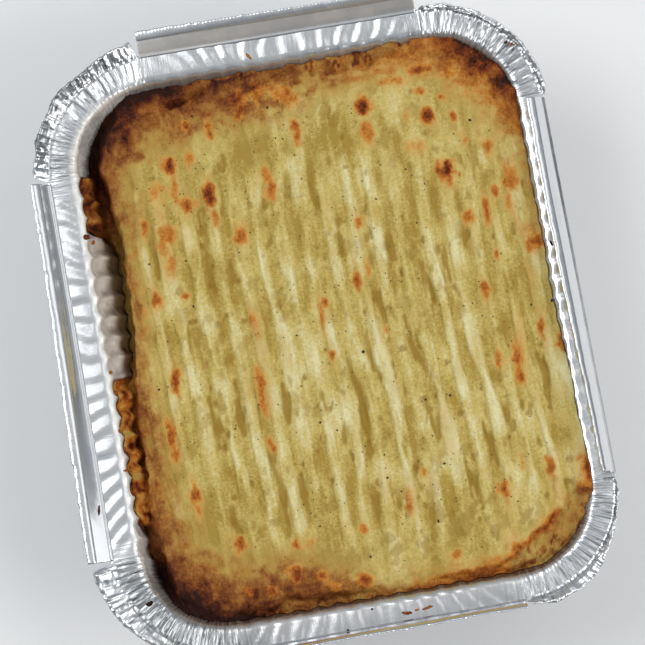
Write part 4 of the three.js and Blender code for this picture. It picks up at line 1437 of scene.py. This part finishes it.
def grain(tree, per_metre):
    """The height and the speckle of the shared grain."""
    made = node(tree, "ShaderNodeGroup", node_tree=baked_grain())
    made.inputs[0].default_value = per_metre
    return made.outputs["Height"], made.outputs["Speckle"]


def new_material(name):
    """A material with a Principled shader, and its node tree."""
    material = bpy.data.materials.new(name)
    material.use_nodes = True
    return material, material.node_tree


def finish_shader(tree, **values):
    """Sets or links inputs of the Principled shader, with underscores for spaces."""
    for key, value in values.items():
        feed(tree, tree.nodes["Principled BSDF"].inputs[key.replace("_", " ")], value)


def foil_material(finish):
    """Bright rolled foil: crinkled where it is crimped, with painted shade in its creases and where
    the darkening mask lies, burnt by its masks, and with a film of baked grease."""
    material, tree = new_material("Bright foil")
    place = object_place(tree)
    uv = node(tree, "ShaderNodeUVMap", uv_map="Round and up").outputs[0]
    film, burn, darkening, crimp = (attribute(tree, key) for key in ("film", "burn", "darkening", "crimp"))
    blotch = noise_at(tree, place, 260.0, 4.0)
    spots = noise_at(tree, place, 900.0)
    folds = noise_at(tree, stretched(tree, uv, 1000, 90, 1), 1.0, 3.0, 0.6)
    cover = times(tree, film, add_up(tree, blotch, 0.35))
    cover = times(tree, cover, add_up(tree, spots, 0.5), clamp=True)
    # Painted shade: streaks of the crease colour along the crimped corners, plus the darkening
    # mask.
    shaded = times(tree, rescaled(tree, folds, 0.5, 0.66, 0.0, 0.7), crimp)
    tone = blend_colours(tree, add_up(tree, shaded, darkening), finish.foil, finish.shadow)
    tone = blend_colours(tree, cover, tone, finish.film)
    charred = times(tree, burn, add_up(tree, folds, 0.62), clamp=True)
    tone = blend_colours(tree, charred, tone, finish.char)
    cover = math_node(tree, "MAXIMUM", cover, charred)
    rough = rescaled(tree, blotch, 0.3, 0.7, 0.13, 0.24)
    rough = add_up(tree, rough, times(tree, cover, 0.3), times(tree, crimp, 0.06))
    radial = times(tree, times(tree, folds, 2.0), crimp)
    height = add_up(tree, radial, times(tree, noise_at(tree, place, 300.0, 3.0, 0.5), 0.45))
    finish_shader(
        tree, Base_Color=tone, Roughness=rough, Metallic=rescaled(tree, cover, 0.0, 1.0, 1.0, 0.1),
        Normal=relief(tree, height, 0.5, 0.0003),
    )
    return material


def outside_material(finish):
    """The tray's outside: plain bright foil with a soft crinkle."""
    material, tree = new_material("Outside foil")
    place = object_place(tree)
    blotch = noise_at(tree, place, 260.0, 4.0)
    crinkle = noise_at(tree, place, 300.0, 3.0, 0.5)
    finish_shader(
        tree, Metallic=1.0, Roughness=rescaled(tree, blotch, 0.3, 0.7, 0.16, 0.28),
        Base_Color=blend_colours(tree, blotch, finish.foil, [0.9 * c for c in finish.foil]),
        Normal=relief(tree, crinkle, 0.3, 0.0002),
    )
    return material


def mash_material(finish):
    """Baked mash: olive in the furrows and cream on the ridges, partly their own tones and partly
    painted shade and highlight, and gold to scorched where brown.
    """
    material, tree = new_material("Baked mash")
    place = object_place(tree)
    brown, wet, crest_tone_and_highlight, baked = (attribute(tree, key) for key in ("brown", "wet", "crest_tone_and_highlight", "baked"))
    height, speckle = grain(tree, 850.0)
    streaks, clouds, drifts, mottle, blotches, hues = (
        centred(tree, noise_at(tree, vector, *values), strength)
        for strength, vector, *values in (
            (0.9, stretched(tree, place, 1, 0.14, 1), 620.0),
            (1.3, stretched(tree, place, 1, 0.45, 1), 170.0, 4.0, 0.6),
            (0.9, place, 60.0, 2.0, 0.5),
            (1.2, place, 1500.0, 4.0, 0.7),
            (0.7, place, 330.0),
            (1.4, place, 200.0, 2.0),
        )
    )
    # The furrow-to-ridge ramp follows the crest mask, so it carries painted highlight on the ridges
    # and painted shade in the furrows as well as their own tones.
    lightness = add_up(tree, times(tree, crest_tone_and_highlight, 0.75), 0.3, streaks, clouds, mottle, drifts)
    tone = ramp(tree, lightness, {0.0: finish.furrow, 0.45: finish.mash, 1.0: finish.ridge})
    moist = times(tree, wet, add_up(tree, streaks, mottle, 0.8), clamp=True)
    tone = blend_colours(tree, moist, tone, finish.wet)
    dust = rescaled(tree, speckle, 0.64, 0.72, 0.0, 0.4)
    tone = blend_colours(tree, dust, tone, finish.wet)
    uneven = add_up(tree, centred(tree, height, 0.8), blotches, mottle)
    toned = add_up(tree, brown, times(tree, uneven, math_node(tree, "MINIMUM", brown, 0.45)))
    singed = ramp(tree, toned, {
        0.1: finish.mash, 0.3: finish.gold, 0.54: finish.orange, 0.8: finish.russet,
        1.0: finish.scorch,
    })
    crusted = ramp(tree, toned, {
        0.1: finish.mash, 0.34: finish.tan, 0.62: finish.crust, 0.84: finish.deep,
        1.0: finish.scorch,
    })
    browned = blend_colours(tree, math_node(tree, "ADD", baked, hues, True), singed, crusted)
    tone = blend_colours(tree, rescaled(tree, toned, 0.06, 0.46), tone, browned)
    finish_shader(
        tree, Specular_IOR_Level=0.15, Base_Color=tone,
        Roughness=rescaled(tree, speckle, 0.3, 0.7, 0.66, 0.46),
        Normal=relief(tree, height, 0.9, 0.0007),
    )
    return material


def pepper_material(finish):
    """Ground pepper, dark brown to black with paler flecks."""
    material, tree = new_material("Ground pepper")
    height, speckle = grain(tree, 2600.0)
    shades = {0.35: [c * 0.5 for c in finish.pepper], 0.7: finish.pepper}
    finish_shader(
        tree, Roughness=0.7, Base_Color=ramp(tree, speckle, shades),
        Normal=relief(tree, height, 1.0, 0.0001),
    )
    return material


# ---- Operators ----


class FOILPIE_OT_tray(bpy.types.Operator):
    """Make the foil tray: bowl, rim with ledge and crimped corners, and four hemmed lips"""

    bl_idname = "foil_pie.tray"
    bl_label = "Make the tray"

    def execute(self, context):
        t = tray_sizes()
        inside = foil_material(context.scene.foil_finishes)
        outside = outside_material(context.scene.foil_finishes)
        bowl, rim, lips = *build_tray(t), build_lips(t)
        for piece in (bowl, rim, lips):
            piece.data.materials.append(inside)
            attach(piece, "root")
            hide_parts("foil_tray")
        for piece in (bowl, rim):
            piece.data.materials.append(outside)
        return {"FINISHED"}


class FOILPIE_OT_mash(bpy.types.Operator):
    """Make the pie: fork-furrowed mash with browned ridges and crust, and crumbs on the foil"""

    bl_idname = "foil_pie.mash"
    bl_label = "Make the pie"

    def execute(self, context):
        t = tray_sizes()
        piece = build_mash(t, mash_sizes(t))
        crumbs = build_baked_on()
        material = mash_material(context.scene.foil_finishes)
        for made in (piece, crumbs):
            made.data.materials.append(material)
            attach(made, "root")
        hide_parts("mash_topped_pie")
        return {"FINISHED"}


class FOILPIE_OT_pepper(bpy.types.Operator):
    """Strew ground pepper over the mash"""

    bl_idname = "foil_pie.pepper"
    bl_label = "Strew the pepper"

    def execute(self, context):
        t = tray_sizes()
        piece = build_pepper(t, mash_sizes(t))
        piece.data.materials.append(pepper_material(context.scene.foil_finishes))
        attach(piece, "root")
        return {"FINISHED"}


IMAGE_SIDE = 645  # pixels
FOCAL_PIXELS = 4544
CAMERA_DISTANCE = 1100 * MM
CAMERA_AIM = Vector((-1.7, 1.5, 38)) * MM
CAMERA_LEAN_X = -1.5  # degrees from straight above, towards +X
CAMERA_LEAN_Y = -9.3  # towards +Y
CAMERA_ROLL = -10.3
FLOOR_HALF = 3000


def place_camera():
    """A camera high above the tray, leaning towards -Y and rolled."""
    lean_x, lean_y = math.radians(CAMERA_LEAN_X), math.radians(CAMERA_LEAN_Y)
    back = Vector((math.tan(lean_x), math.tan(lean_y), 1)).normalized()
    right = Vector((0, 1, 0)).cross(back).normalized()
    up = back.cross(right)
    facing = Matrix((right, up, back)).transposed().to_4x4()
    data = bpy.data.cameras.new("Camera")
    data.sensor_width = 36
    data.lens = data.sensor_width * FOCAL_PIXELS / IMAGE_SIDE
    data.clip_start = 0.05
    camera = bpy.data.objects.new("Camera", data)
    roll = Matrix.Rotation(math.radians(CAMERA_ROLL), 4, "Z")
    camera.matrix_world = Matrix.Translation(CAMERA_AIM + back * CAMERA_DISTANCE) @ facing @ roll
    bpy.context.scene.collection.objects.link(camera)
    bpy.context.scene.camera = camera


def softbox(name, place, aim, width, depth, power, tint=(1, 1, 1)):
    """A rectangular area light at a place, pointing at another, both in metres."""
    data = bpy.data.lights.new(name, "AREA")
    data.shape = "RECTANGLE"
    data.size, data.size_y = width, depth
    data.energy = power
    data.color = tint
    lamp = bpy.data.objects.new(name, data)
    lamp.location = place
    lamp.rotation_euler = (Vector(aim) - Vector(place)).to_track_quat("-Z", "Y").to_euler()
    bpy.context.scene.collection.objects.link(lamp)


def build_floor():
    """A wide pale floor, very slightly uneven in tone."""
    corners = np.array([(-1, -1), (1, -1), (1, 1), (-1, 1)], float) * FLOOR_HALF
    points = np.column_stack([corners, np.zeros(4)])
    floor = make_object("floor", points, [[0, 1, 2, 3]], solid=False)
    material, tree = new_material("Pale floor")
    tones = {0.3: (0.9, 0.9, 0.9), 0.7: (0.93, 0.93, 0.93)}
    tone = ramp(tree, noise_at(tree, object_place(tree), 6.0), tones)
    finish_shader(tree, Roughness=0.8, Base_Color=tone)
    floor.data.materials.append(material)


def soft_world():
    """Soft light from all round, brighter overhead than near the horizon and to +Y than to -Y."""
    world = bpy.data.worlds.new("Soft studio")
    world.use_nodes = True
    tree = world.node_tree
    way = node(tree, "ShaderNodeTexCoord").outputs["Generated"]
    parts = node(tree, "ShaderNodeSeparateXYZ", {"Vector": way})
    shade = ramp(tree, parts.outputs["Z"], {
        0.0: (0.14, 0.15, 0.17), 0.35: (0.28, 0.3, 0.32), 0.75: (0.37, 0.39, 0.41),
        1.0: (0.5, 0.52, 0.53),
    })
    background = tree.nodes["Background"]
    feed(tree, background.inputs["Color"], shade)
    strength = add_up(tree, times(tree, parts.outputs["Y"], 0.35), 1.0)
    feed(tree, background.inputs["Strength"], strength)
    return world


class FOILPIE_OT_stage(bpy.types.Operator):
    """Set the floor, the soft lights and the camera"""

    bl_idname = "foil_pie.stage"
    bl_label = "Set the stage"

    def execute(self, context):
        build_floor()
        place_camera()
        middle = (0, 0, 0.03)
        softbox("Window light", (-0.8, 0.45, 1.2), middle, 0.9, 0.9, 7.6, (0.98, 0.99, 1))
        softbox("Fill light", (0.95, -0.6, 1.1), middle, 0.9, 0.7, 8.4, (1, 0.98, 0.96))
        softbox("Ceiling light", (-0.52, 0.65, 1.7), (-0.52, 0.65, 0), 1, 0.7, 1.5)
        softbox("Side light", (0.85, 0.25, 1.45), middle, 1.1, 0.7, 1.7)
        context.scene.world = soft_world()
        context.scene.view_settings.view_transform = "Standard"
        return {"FINISHED"}


class FOILPIE_PT_panel(bpy.types.Panel):
    """Buttons and sizes for the pie"""

    bl_idname = "FOILPIE_PT_panel"
    bl_label = "Foil tray pie"
    bl_space_type = "VIEW_3D"
    bl_region_type = "UI"
    bl_category = "Foil pie"

    def draw(self, context):
        for operator in OPERATORS:
            self.layout.operator(operator.bl_idname)
        for name, group in GROUPS.items():
            box = self.layout.box()
            for key in group.__annotations__:
                box.prop(getattr(context.scene, name), key)


OPERATORS = (FOILPIE_OT_tray, FOILPIE_OT_mash, FOILPIE_OT_pepper, FOILPIE_OT_stage)
GROUPS = {"foil_tray": TraySizes, "foil_mash": MashSizes, "foil_finishes": Finishes}


def register():
    for item in (*GROUPS.values(), *OPERATORS, FOILPIE_PT_panel):
        bpy.utils.register_class(item)
    for key, group in GROUPS.items():
        setattr(bpy.types.Scene, key, bpy.props.PointerProperty(type=group))


def unregister():
    for key in GROUPS:
        delattr(bpy.types.Scene, key)
    for item in (FOILPIE_PT_panel, *reversed(OPERATORS), *reversed(GROUPS.values())):
        bpy.utils.unregister_class(item)


def main():
    """Makes every piece in order."""
    register()
    for operator in OPERATORS:
        section, name = operator.bl_idname.split(".")
        getattr(getattr(bpy.ops, section), name)()


if __name__ == "__main__":
    main()
